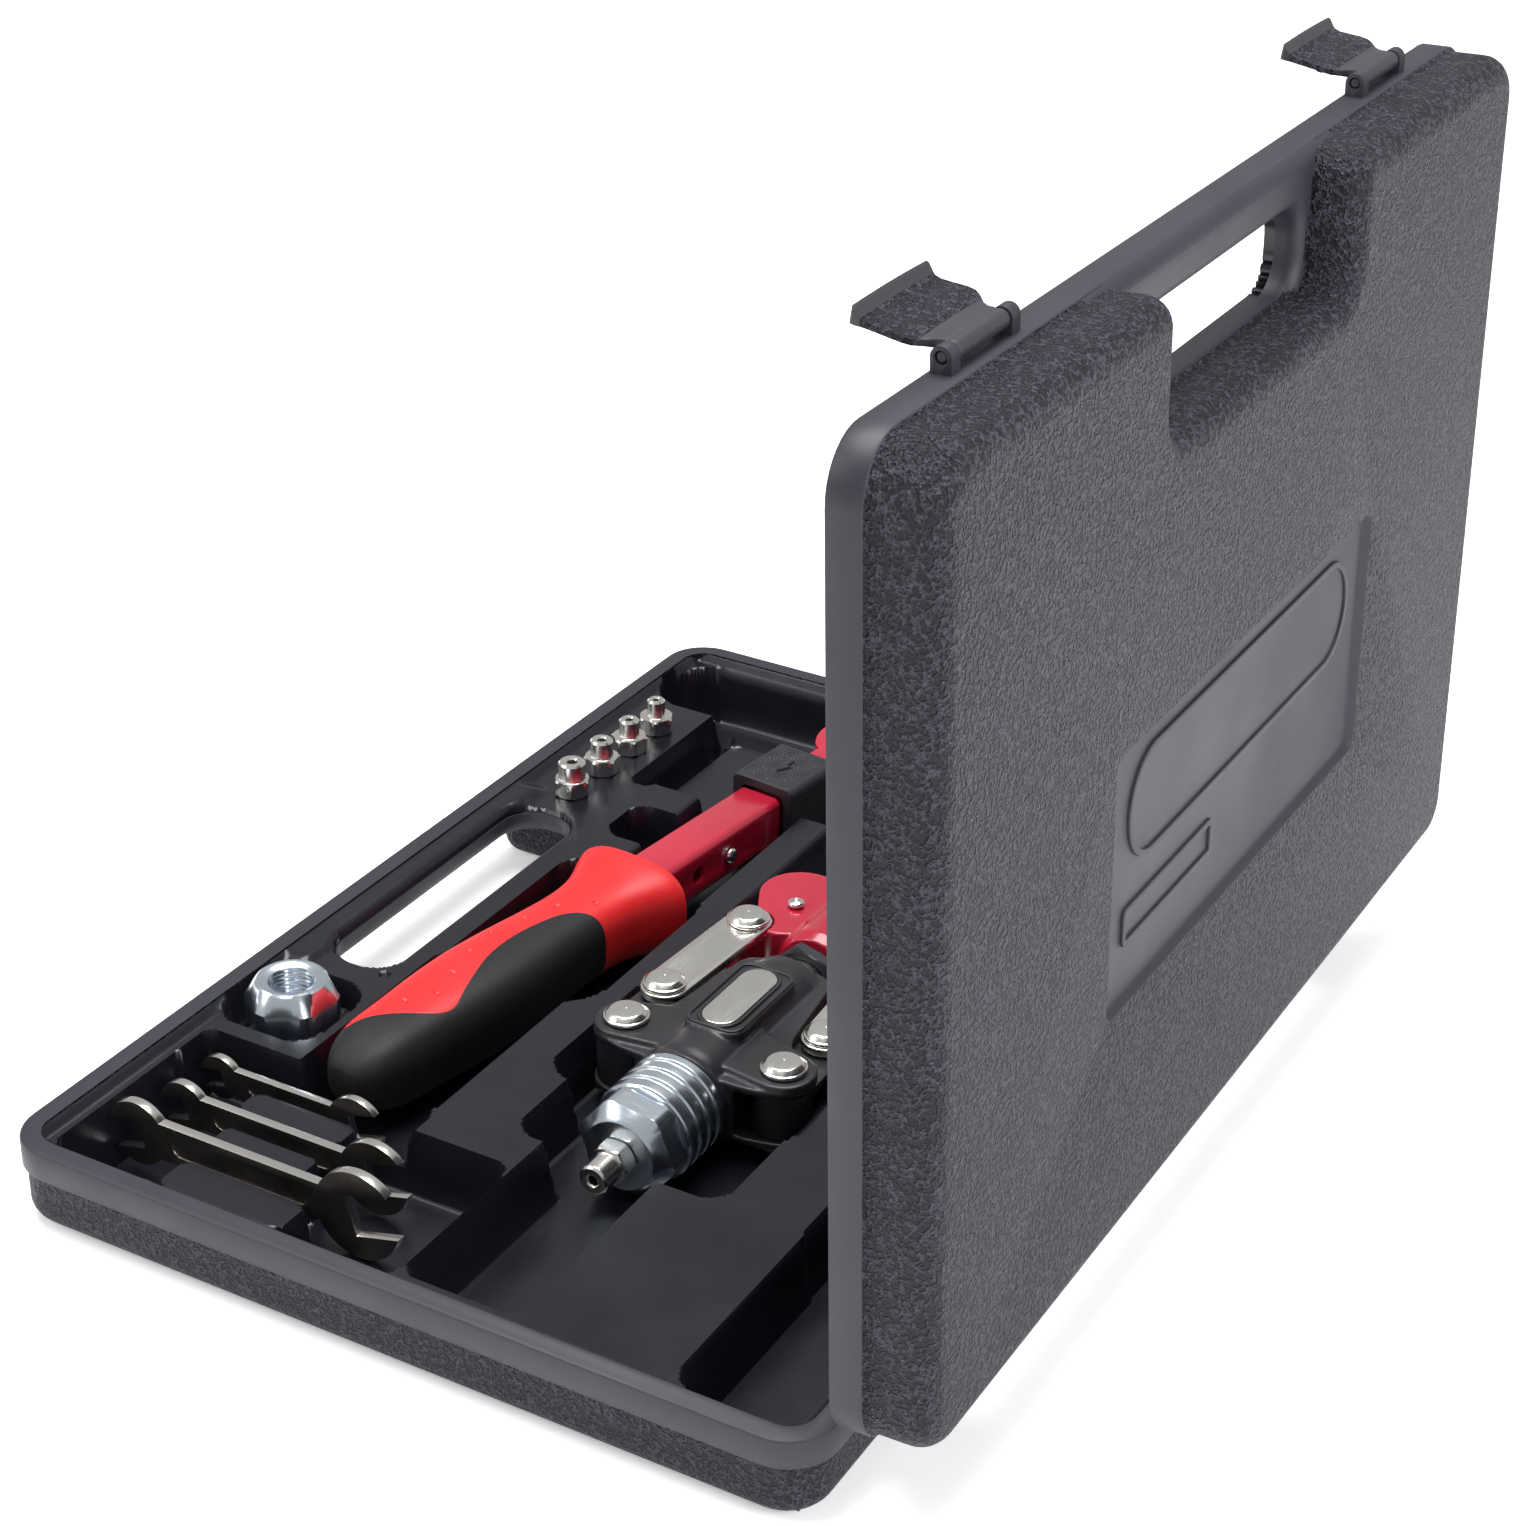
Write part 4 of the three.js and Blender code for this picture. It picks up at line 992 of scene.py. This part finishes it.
def make_yoke():
    line = [(-56, AXIS), (-56, 13.2), (-53, 14.6), (-20, 14.6), (-16, 13), (-16, AXIS), (-56, AXIS)]
    body = turned("yoke", line, CRIMSON, sides=80)
    parts = []
    for s in (-1, 1):
        parts.append(prism("lobe", capsule(-45, s * 20.6, 14.3, -26, s * 17, 9), -10.8, 10.8))
        parts.append(prism("arm", capsule(-36, s * 20, 10, YOKE[0], s * YOKE[1], 7.5), -7.5, 7.5))
    boolean(body, parts, "UNION")
    cuts = []
    for s in (-1, 1):
        cuts += [pin_rod(YOKE, s, 8.8, 7.7, 20), pin_rod(YOKE, s, 8.8, -20, -7.7), pin_rod(YOKE, s, 4.3),
                 pin_rod(SCREW, s, 1.6, 4, 20)]
    cuts.append(bore("bore", -70, 0, 9.15))
    return finish_piece(fuse(body, "yoke_casting", 0.5, 9, CRIMSON, cuts), "pull_rod", ["crosshead_yoke"], 50)


make_yoke()


def domed(name, profile, pin, s, body, node):
    """A bright rivet or screw, turned about the axis of a pin on side s."""
    at = (pin[0], s * pin[1], 0)
    obj = turned(name, profile + profile[:1], NICKEL, axis="Z", sides=56, at=at, round_by=0.5)
    return finish_piece(transform(obj, TO_RIVETER), body, [node], 35)


def rivet_profile(shank, head, top, dome):
    up = [(top, shank), (top, head - 0.3), (top + 0.4, head), (top + dome * 0.36, head),
          (top + dome * 0.45, head - 0.7), (top + dome * 0.55, head - 0.9), (top + dome * 0.9, head - 2.2),
          (top + dome, AXIS)]
    return [(-z, r) for z, r in up[::-1]] + up


for side, s in SIDES:
    low_rivet, high_rivet = rivet_profile(4, 7.3, 11.15, 3.3), rivet_profile(4, 7.5, 12.75, 3.3)
    domed(f"{side}_rivet_link", low_rivet, CRANK, s, f"{side}_lever", f"{side}_link_pin")
    domed(f"{side}_rivet_yoke", low_rivet, YOKE, s, "pull_rod", f"{side}_yoke_pin")
    domed(f"{side}_rivet_ear", high_rivet, EAR, s, "riveter", f"{side}_ear_pin")
    screw = [(4.6, AXIS), (4.6, 1.25), (11.4, 1.25), (11.4, 2.6), (11.9, 3.0), (12.8, 2.7), (13.25, 1.4),
             (13.25, 1.1), (12.3, 1.0), (12.3, AXIS)]
    domed(f"{side}_yoke_screw", screw, SCREW, s, "pull_rod", f"{side}_clamp_screw")


def make_link(side, s, word, z0):
    plan = capsule(CRANK[0], s * CRANK[1], 8, YOKE[0], s * YOKE[1], 8, 30)
    plate = prism("link", plan, z0, z0 + 3.0, NICKEL)
    boolean(plate, [pin_rod(CRANK, s, 5.3), pin_rod(YOKE, s, 4.3)])
    bevel(plate, 0.55, 3)
    plate.name = f"{side}_plate_{word}"
    return finish_piece(transform(plate, TO_RIVETER), f"{side}_link", [f"{side}_link_{word}"], 35)


def make_lever(side, s):
    arm = prism("lever", capsule(EAR[0], s * EAR[1], 9.5, CRANK[0], s * CRANK[1], 7.5, 24), -7.5, 7.5, CAST)
    socket = box("socket", 40, 52, *sorted((s * 31, s * 42)), -5, 5)
    boolean(arm, [pin_rod(EAR, s, 4.3), pin_rod(CRANK, s, 4.3), socket])
    bevel(arm, 0.9, 3)
    arm.name = f"{side}_lever_casting"
    return finish_piece(transform(arm, TO_RIVETER), f"{side}_lever", [f"{side}_lever_root"], 40)


for side, s in SIDES:
    make_link(side, s, "top", 8.05)
    make_link(side, s, "bottom", -11.05)
    make_lever(side, s)


# ------------------------------------------------------------------ handle arms
def arm_place(s):
    """s is -1 for the front arm and 1 for the rear one, which is its mirror image."""
    mirror = Matrix.Scale(-1, 4, (0, 1, 0)) if s > 0 else Matrix.Identity(4)
    turn = Matrix.Rotation(s * ARM_ANGLE, 4, "Z")
    return move(0, RIVETER[0] + s * ARM_SPREAD, ARM_Z) @ turn @ mirror


def square_ring(x, half_y, half_z, r, steps=5):
    return np.array([(x, y, z) for y, z in round_rect(-half_y, half_y, -half_z, half_z, r, steps)])


def cross_rod(x, r, y0, y1):
    return turned("hole", cylinder(y0, y1, r), CRIMSON, axis="Y", sides=40, at=(x, 0, 0))


HOLES = (-72, -54, -36)  # along the tube's side


def arm_bar(side, s):
    rings = [square_ring(-160, 7, 7, 2.4), square_ring(-38, 7, 7, 2.4)]
    bar = loft("bar", rings, CRIMSON)
    plan = [(-178, -13), (-157, -13), (-146, -7), (-144, 7), (-157, 13), (-178, 13)]
    fork = prism("fork", smooth_outline(plan, 8), -7, 7, CRIMSON)
    boolean(bar, [fork], "UNION")
    boolean(bar, [rod("pin", -166, 0, 4.2, -20, 20), box("jaw", -185, -157, -20, 20, -2.6, 2.6)])
    boolean(bar, [box("slot", HOLES[0] - 5, -30, 4.8, 9, -3.6, 3.6)])
    bevel(bar, 0.6, 3, 50)
    bar.name = f"{side}_bar_painted"
    return finish_piece(transform(bar, arm_place(s)), f"{side}_arm", [f"{side}_arm_bar"], 40)


def arm_tube(side, s):
    body = loft("tube", [square_ring(-102, 9, 9, 2.6, 7), square_ring(60, 9, 9, 2.6, 7)], CRIMSON)
    boolean(body, [loft("inner", [square_ring(x, 7.3, 7.3, 1.2) for x in (-110, 70)], CRIMSON)])
    boolean(body, [cross_rod(x, 3.2, 4, 12) for x in HOLES])
    bevel(body, 0.4, 3, 50)
    body.name = f"{side}_tube_painted"
    return finish_piece(transform(body, arm_place(s)), f"{side}_sleeve", [f"{side}_arm_tube"], 40)


def snap_button(side, s):
    line = [(7.6, AXIS), (7.6, 2.85), (10.2, 2.85), (10.9, 2.3), (11.3, 1.3), (11.4, AXIS), (7.6, AXIS)]
    obj = turned(f"{side}_button_dome", line, NICKEL, axis="Y", sides=40, at=(HOLES[0], 0, 0), round_by=0.4)
    return finish_piece(transform(obj, arm_place(s)), f"{side}_button", [f"{side}_snap_button"], 40)


def hole_plug(side, s):
    """The bright end of the tube's cross pin, seen in the third side hole."""
    line = [(7.6, AXIS), (7.6, 3.0), (8.5, 3.0), (8.8, 2.3), (8.9, AXIS), (7.6, AXIS)]
    obj = turned(f"{side}_cross_pin_end", line, NICKEL, axis="Y", sides=40, at=(HOLES[2], 0, 0), round_by=0.3)
    return finish_piece(transform(obj, arm_place(s)), f"{side}_sleeve")


def collar(side, s):
    ends = ((-132, 12.6, 2.6), (-131.4, 13.2, 3.0), (-104, 13.2, 3.0), (-103.4, 12.6, 2.6))
    body = loft("collar", [square_ring(x, half, half, r, 7) for x, half, r in ends], KNURL)
    boolean(body, [loft("wide", [square_ring(-129, 9.4, 9.4, 2.6), square_ring(-90, 9.4, 9.4, 2.6)], KNURL),
                   loft("narrow", [square_ring(x, 7.4, 7.4, 2.4) for x in (-140, -120)], KNURL)])
    block = transform(join(f"{side}_collar_block", [body], KNURL), arm_place(s))
    return finish_piece(block, f"{side}_collar", [f"{side}_lock_collar"], 40)


def knurl_pad(side, s):
    """Rows of small pyramids on the collar's faces, with a plain arrow on the top one."""
    step = 0.34
    arrow = np.array([(0.35, -1.1), (0.35, -2.7), (5.6, 0), (0.35, 2.7), (0.35, 1.1), (-4.4, 1.1),
                      (-4.4, -1.1)])
    half_x, half_y = 12.2, 11.0  # of the knurled area
    along = np.arange(-half_x, half_x + step / 2, step)
    across = np.arange(-half_y, half_y + step / 2, step)
    x, y = np.meshgrid(along, across, indexing="ij")
    pitch = 1.75
    u, v = (x + y) / pitch, (x - y) / pitch
    cone = 1 - np.maximum(np.abs(np.mod(u, 1) - 0.5), np.abs(np.mod(v, 1) - 0.5)) * 2
    edge = np.minimum(half_x - np.abs(x), half_y - np.abs(y))
    height = 0.75 * np.clip(cone, 0, 1) * np.clip(edge / 0.6, 0, 1)
    parts = []
    for turn in range(4):
        z = height.copy()
        if turn == 0:
            z = np.where(inside_shape(x, y, arrow * 1.25), 0.12, z)
            z = np.where(inside_shape(x, y, arrow), 1.05, z)
        if turn in (1, 3):
            z = z * 0.8
        parts.append(sheet_block(x - 117.7, y, z + 13.0, 12.7, turn))
    obj = join(f"{side}_collar_knurl", parts, KNURL)
    return finish_piece(transform(obj, arm_place(s)), f"{side}_collar", angle=25)


def inside_shape(x, y, points):
    hit = np.zeros(x.shape, bool)
    for (x0, y0), (x1, y1) in zip(points, np.roll(points, -1, 0)):
        crosses = (y0 > y) != (y1 > y)
        with np.errstate(divide="ignore", invalid="ignore"):
            at = (x1 - x0) * (y - y0) / (y1 - y0 + 1e-12) + x0
        hit ^= crosses & (x < at)
    return hit


def sheet_block(x, y, z, low, quarter):
    """A closed block whose top is the given grid, turned by quarter turns about X."""
    nx, ny = x.shape
    top = np.stack([x, y, z], 2).reshape(-1, 3)
    flat = np.stack([x, y, np.full(x.shape, low)], 2).reshape(-1, 3)
    i, j = np.meshgrid(np.arange(nx - 1), np.arange(ny - 1), indexing="ij")
    a = (i * ny + j).ravel()
    quads = np.stack([a, a + ny, a + ny + 1, a + 1], 1)
    faces = quads.tolist() + (quads[:, ::-1] + nx * ny).tolist()
    border = ([k * ny for k in range(nx)] + [(nx - 1) * ny + k for k in range(1, ny)]
              + [k * ny + ny - 1 for k in range(nx - 2, -1, -1)] + list(range(ny - 2, 0, -1)))
    for p, q in zip(border, border[1:] + border[:1]):
        faces.append((q, p, p + nx * ny, q + nx * ny))
    obj = to_object("block", np.concatenate([top, flat]), faces, KNURL)
    return outward(transform(obj, Matrix.Rotation(quarter * math.pi / 2, 4, "X")))


def grip_size(t):
    """Half the width and half the height of the grip, t of the way along it."""
    flare = math.exp(-((t / 0.11) ** 2))
    belly = math.sin(math.pi * min(1, max(0, (t - 0.2) / 0.75))) ** 2
    return 14.2 + 9.2 * flare + 3 * belly, 13.9 + 2.9 * flare + 1.5 * belly


GRIP_SPAN = (-31.0, 117.0)  # along the arm
GRIP_DOME = 0.86  # how far along the rounded butt starts
GRIP_SQUARENESS = 0.66  # 1 for an oval section, less for a squarer one


def grip_rings(grow, steps, count):
    rings = []
    x0, x1 = GRIP_SPAN
    dome = GRIP_DOME + 0.14 * np.sin(np.linspace(0, math.pi / 2, 12)[1:])
    for t in np.concatenate([[0, 0.004, 0.012, 0.024], np.linspace(0.045, GRIP_DOME, steps), dome]):
        wide, high = grip_size(t)
        end = math.sqrt(max(1 - ((t - GRIP_DOME) / 0.142) ** 2, 0.02)) if t > GRIP_DOME else 1
        soft = 1 - 0.11 * (1 - min(t / 0.024, 1)) ** 2
        wide, high = wide * (0.25 + 0.75 * end) * soft + grow, high * (0.25 + 0.75 * end) * soft + grow
        a = np.linspace(0, 2 * math.pi, count, endpoint=False)
        c, q = np.cos(a), np.sin(a)
        y = wide * np.sign(c) * np.abs(c) ** GRIP_SQUARENESS
        z = high * np.sign(q) * np.abs(q) ** GRIP_SQUARENESS
        rings.append(np.stack([np.full(count, x0 + (x1 - x0 + grow) * t), y, z], 1))
    return rings


def overmould_outline():
    """The wavy edge between the red grip and the dark overmould, seen from above."""
    def curve(p0, p1, p2, steps=14):
        t = np.linspace(0, 1, steps)[:, None]
        p0, p1, p2 = (np.array(p, float) for p in (p0, p1, p2))
        return ((1 - t) ** 2 * p0 + 2 * t * (1 - t) * p1 + t * t * p2).tolist()
    bends = [(24, 40), (2, 22), (4.5, 14), (7, 3.5), (20, 1.5), (38, -1.5), (53, 3), (68, 8), (75, 11),
             (83, 13), (90, 3), (96, -5), (104, -9)]
    line = [(24, 40)]
    for k in range(0, len(bends) - 1, 2):
        line += curve(*bends[k:k + 3])[1:]
    return [tuple(p) for p in line] + [(110, -40), (140, -40), (140, 40)]


# x, y of the small hollows along the grip's far side
DIMPLES = ((0, 7), (10, -1.5), (23, -5), (37, -7.5), (51, -4.5), (64, 0), (76, 3.5), (85, -2), (92, -9))


def dimple(x, y, surface):
    """A ball that dips into the surface under x, y."""
    z = surface.ray_cast(Vector((x, y, 60)) * MM, Vector((0, 0, -1)))[0].z / MM
    turns = np.linspace(-math.pi / 2, math.pi / 2, 9)
    ball = [(1.9 * math.sin(t), max(1.9 * math.cos(t), AXIS)) for t in turns]
    return turned("dimple", ball + ball[:1], RED, axis="Z", sides=18, at=(x, y, z + 1.35))


def make_grip(side, s):
    steps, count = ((90, 96))
    red = loft("grip", grip_rings(0, steps, count), RED)
    zone = overmould_outline()
    boolean(red, [loft("bore", [square_ring(-60, 9.3, 9.3, 2.2), square_ring(61, 9.3, 9.3, 2.2)], RED)])
    core = loft("core", grip_rings(-2.2, steps, count), RUBBER)
    black = loft("black", grip_rings(0.0, steps, count), RUBBER)
    boolean(black, [prism("zone", zone, -40, 40)], "INTERSECT")
    shell = loft("seat", grip_rings(4, steps, count), RED)
    boolean(shell, [core])
    boolean(shell, [prism("edge", zone, -40, 40)], "INTERSECT")
    boolean(red, [shell])
    boolean(black, [loft("core", grip_rings(-2.2, steps, count), RUBBER)])
    bevel(black, 0.6, 3, 55)
    bevel(red, 0.45, 2, 60)
    surface = BVHTree.FromPolygons([v.co for v in red.data.vertices], [f.vertices for f in red.data.polygons])
    for x, y in DIMPLES:
        boolean(red, [dimple(x, y, surface)])
    black.name, red.name = f"{side}_overmould", f"{side}_grip_shell"
    for obj, material in ((black, RUBBER), (red, RED)):
        obj.data.materials.clear()
        obj.data.materials.append(material)
    finish_piece(transform(red, arm_place(s)), f"{side}_sleeve", [f"{side}_grip"], 50)
    finish_piece(transform(black, arm_place(s)), f"{side}_sleeve", [f"{side}_grip_overmould"], 50)


for side, s in SIDES:
    for make in (arm_bar, arm_tube, snap_button, hole_plug, collar, knurl_pad, make_grip):
        make(side, s)


# ------------------------------------------------------------------ loose accessories
def thread(along, angle, pitch, depth):
    """How far a thread cuts in, at each point of a turned body."""
    return depth * np.abs(np.mod(along / pitch - angle / (2 * math.pi), 1) - 0.5) * 2


for number, (nose_x, tip) in enumerate(zip(NOSE_X, (4.9, 4.2, 3.7, 3.3)), 1):
    limit = hexagon(12, 0.2 + 0.35 * number)

    def nose_shape(along, radius, angle, limit=limit):
        in_thread = (along > -5.2) & (along < 10.8) & (radius > 3)
        radius = np.where(in_thread, radius - thread(along, angle, 0.9, 0.3), radius)
        return np.where((radius > 5.25) & (along > 11), limit(along, radius, angle), radius)
    hole = tip * 0.38
    core = [(-6, hole), (-6, 3.2), (-5.4, 3.7)] + [(z, 3.7) for z in np.arange(-5.2, 10.8, 0.15)]
    core += [(11, 3.1), (12.3, 3.1), (12.3, 6.1), (12.9, 6.93), (17.7, 6.93), (18.3, 6.1),
             (18.3, tip + 0.3), (18.9, tip), (24.3, tip), (25, tip - 0.6), (25, hole + 0.5), (24.5, hole),
             (-6, hole)]
    piece = turned(f"spare_nosepiece_{number}", core, NICKEL, axis="Z", sides=84, shape=nose_shape)
    transform(piece, move(nose_x, NOSE_Y, 14))
    finish_piece(piece, f"nosepiece_{number}", [f"nosepiece_{number}"], 30)


def flange_nut():
    limit = hexagon(28, 0.1)

    def shape(along, radius, angle):
        in_thread = (radius < 8.4) & (along > 4.2) & (along < 28.2)
        radius = np.where(in_thread, radius - thread(along, angle, 1.5, 0.55), radius)
        flats = np.minimum(limit(along, radius, angle), 15.3)
        return np.where((along > 9.15) & (radius > 9.5), flats, radius)
    bore_line = [(z, 7.9) for z in np.arange(28.1, 4.2, -0.2)]
    line = [(3.4, 8.2), (3.4, 14.6), (3.9, 15.3), (8.0, 15.6), (8.8, 15.0), (9.2, 12.0), (12.5, 12.0),
            (14.0, 16.1), (22.5, 16.1), (28.4, 11.8), (29, 11.0), (29, 9.9), (28.6, 9.0), *bore_line,
            (4.2, 7.9), (3.4, 8.2)]
    obj = turned("adapter_nut", line, ZINC, axis="Z", sides=96, shape=shape)
    transform(obj, move(90.5, -113, 6.2))
    return finish_piece(obj, "flange_nut", ["flange_nut"], 28)


flange_nut()

# x, y, z of the large end's centre, length, shank, thickness, then each end's radius and mouth
WRENCHES = {
    "small": (126, -62, 17.5, 52, 9, 2.6, 10, 8, 7.5, 6),
    "medium": (146, -40, 18.5, 72, 11, 3.0, 12.5, 11, 9, 8),
    "large": (165, -32, 20.0, 82, 13, 3.2, 15, 14, 11, 10),
}


def make_wrench(size):
    x, y, z, length, shank, thick, head, jaw, tail, tail_jaw = WRENCHES[size]
    body = box("wrench", -length, 0, -shank / 2, shank / 2, -thick / 2, thick / 2, STEEL)
    ends = ((0, head, jaw, 15), (-length, tail, tail_jaw, 195))
    for at, r, _, _ in ends:
        boolean(body, [rod("end", at, 0, r, -thick / 2, thick / 2, sides=56)], "UNION")
    for at, r, mouth, tilt in ends:
        cutter = box("mouth", -r * 0.15, 2 * r, -mouth / 2, mouth / 2, -9, 9)
        transform(cutter, move(at, 0, 0) @ Matrix.Rotation(math.radians(tilt), 4, "Z"))
        boolean(body, [cutter])
    slim = capsule(-length + tail + 6, 0, shank * 0.27, -head - 6, 0, shank * 0.27)
    boolean(body, [prism("recess", slim, z0, z0 + 2) for z0 in (thick / 2 - 0.45, -thick / 2 - 1.55)])
    bevel(body, 0.35, 3, 50)
    transform(body, move(x, y, z) @ ACROSS)
    body.name = f"spanner_{size}"
    return finish_piece(body, f"{size}_wrench", [f"{size}_wrench"], 35)


for wrench_size in WRENCHES:
    make_wrench(wrench_size)

# ------------------------------------------------------------------ CAD nodes that stay
for node in ("hinge_pin_1", "hinge_pin_2", "jaw_case", "jaw_upper", "jaw_lower", "jaw_spring"):
    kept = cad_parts[node]
    kept.data.materials.clear()
    kept.data.materials.append(NICKEL if node.startswith("hinge") else STEEL)

# ------------------------------------------------------------------ floor, light and camera
floor_mesh = bpy.data.meshes.new("floor")
floor_mesh.from_pydata([(-6, -6, 0), (6, -6, 0), (6, 6, 0), (-6, 6, 0)], [], [(0, 1, 2, 3)])
floor = bpy.data.objects.new("floor", floor_mesh)
bpy.context.scene.collection.objects.link(floor)
paper = Nodes("floor_paper", (0.96, 0.96, 0.96), 0.9)
paper.set(Emission_Color=(1, 1, 1, 1), Emission_Strength=0.35)
floor_mesh.materials.append(paper.mat)
floor.location.z = cad_box[0][2]

world = bpy.context.scene.world or bpy.data.worlds.new("studio")
bpy.context.scene.world = world
world.use_nodes = True
world.node_tree.nodes["Background"].inputs["Color"].default_value = (1, 1, 1, 1)
world.node_tree.nodes["Background"].inputs["Strength"].default_value = 0.42


def softbox(name, place, target, size, power):
    light = bpy.data.lights.new(name, "AREA")
    light.shape = "RECTANGLE"
    light.size, light.size_y = size
    light.energy = power
    obj = bpy.data.objects.new(name, light)
    obj.location = place
    obj.rotation_euler = (Vector(target) - Vector(place)).to_track_quat("-Z", "Y").to_euler()
    bpy.context.scene.collection.objects.link(obj)


softbox("top", (-0.15, -0.15, 1.9), (0, 0, 0), (1.5, 1.2), 44)
softbox("key", (1.0, -1.4, 1.3), (0, 0, 0.05), (0.9, 0.7), 10)
softbox("fill", (0.35, 2.1, 1.3), (0, 0.1, 0.15), (1.8, 1.2), 40)

bpy.context.scene.view_settings.view_transform = "Standard"
camera = bpy.data.objects.new("camera", bpy.data.cameras.new("camera"))
bpy.context.scene.collection.objects.link(camera)
right = Vector((-0.48825, 0.87244, 0.02154)).normalized()
ahead = Vector((-0.76703, -0.41723, -0.48743)).normalized()
up = right.cross(ahead)
camera.matrix_world = Matrix.Translation((0.74146, 0.42467, 0.55993)) @ Matrix(
    (right, up, -ahead)).transposed().to_4x4()
camera.data.lens = 72.17
camera.data.sensor_width = 36
camera.data.shift_x = -0.0247
camera.data.shift_y = 0.0377
bpy.context.scene.camera = camera

bpy.context.view_layer.update()
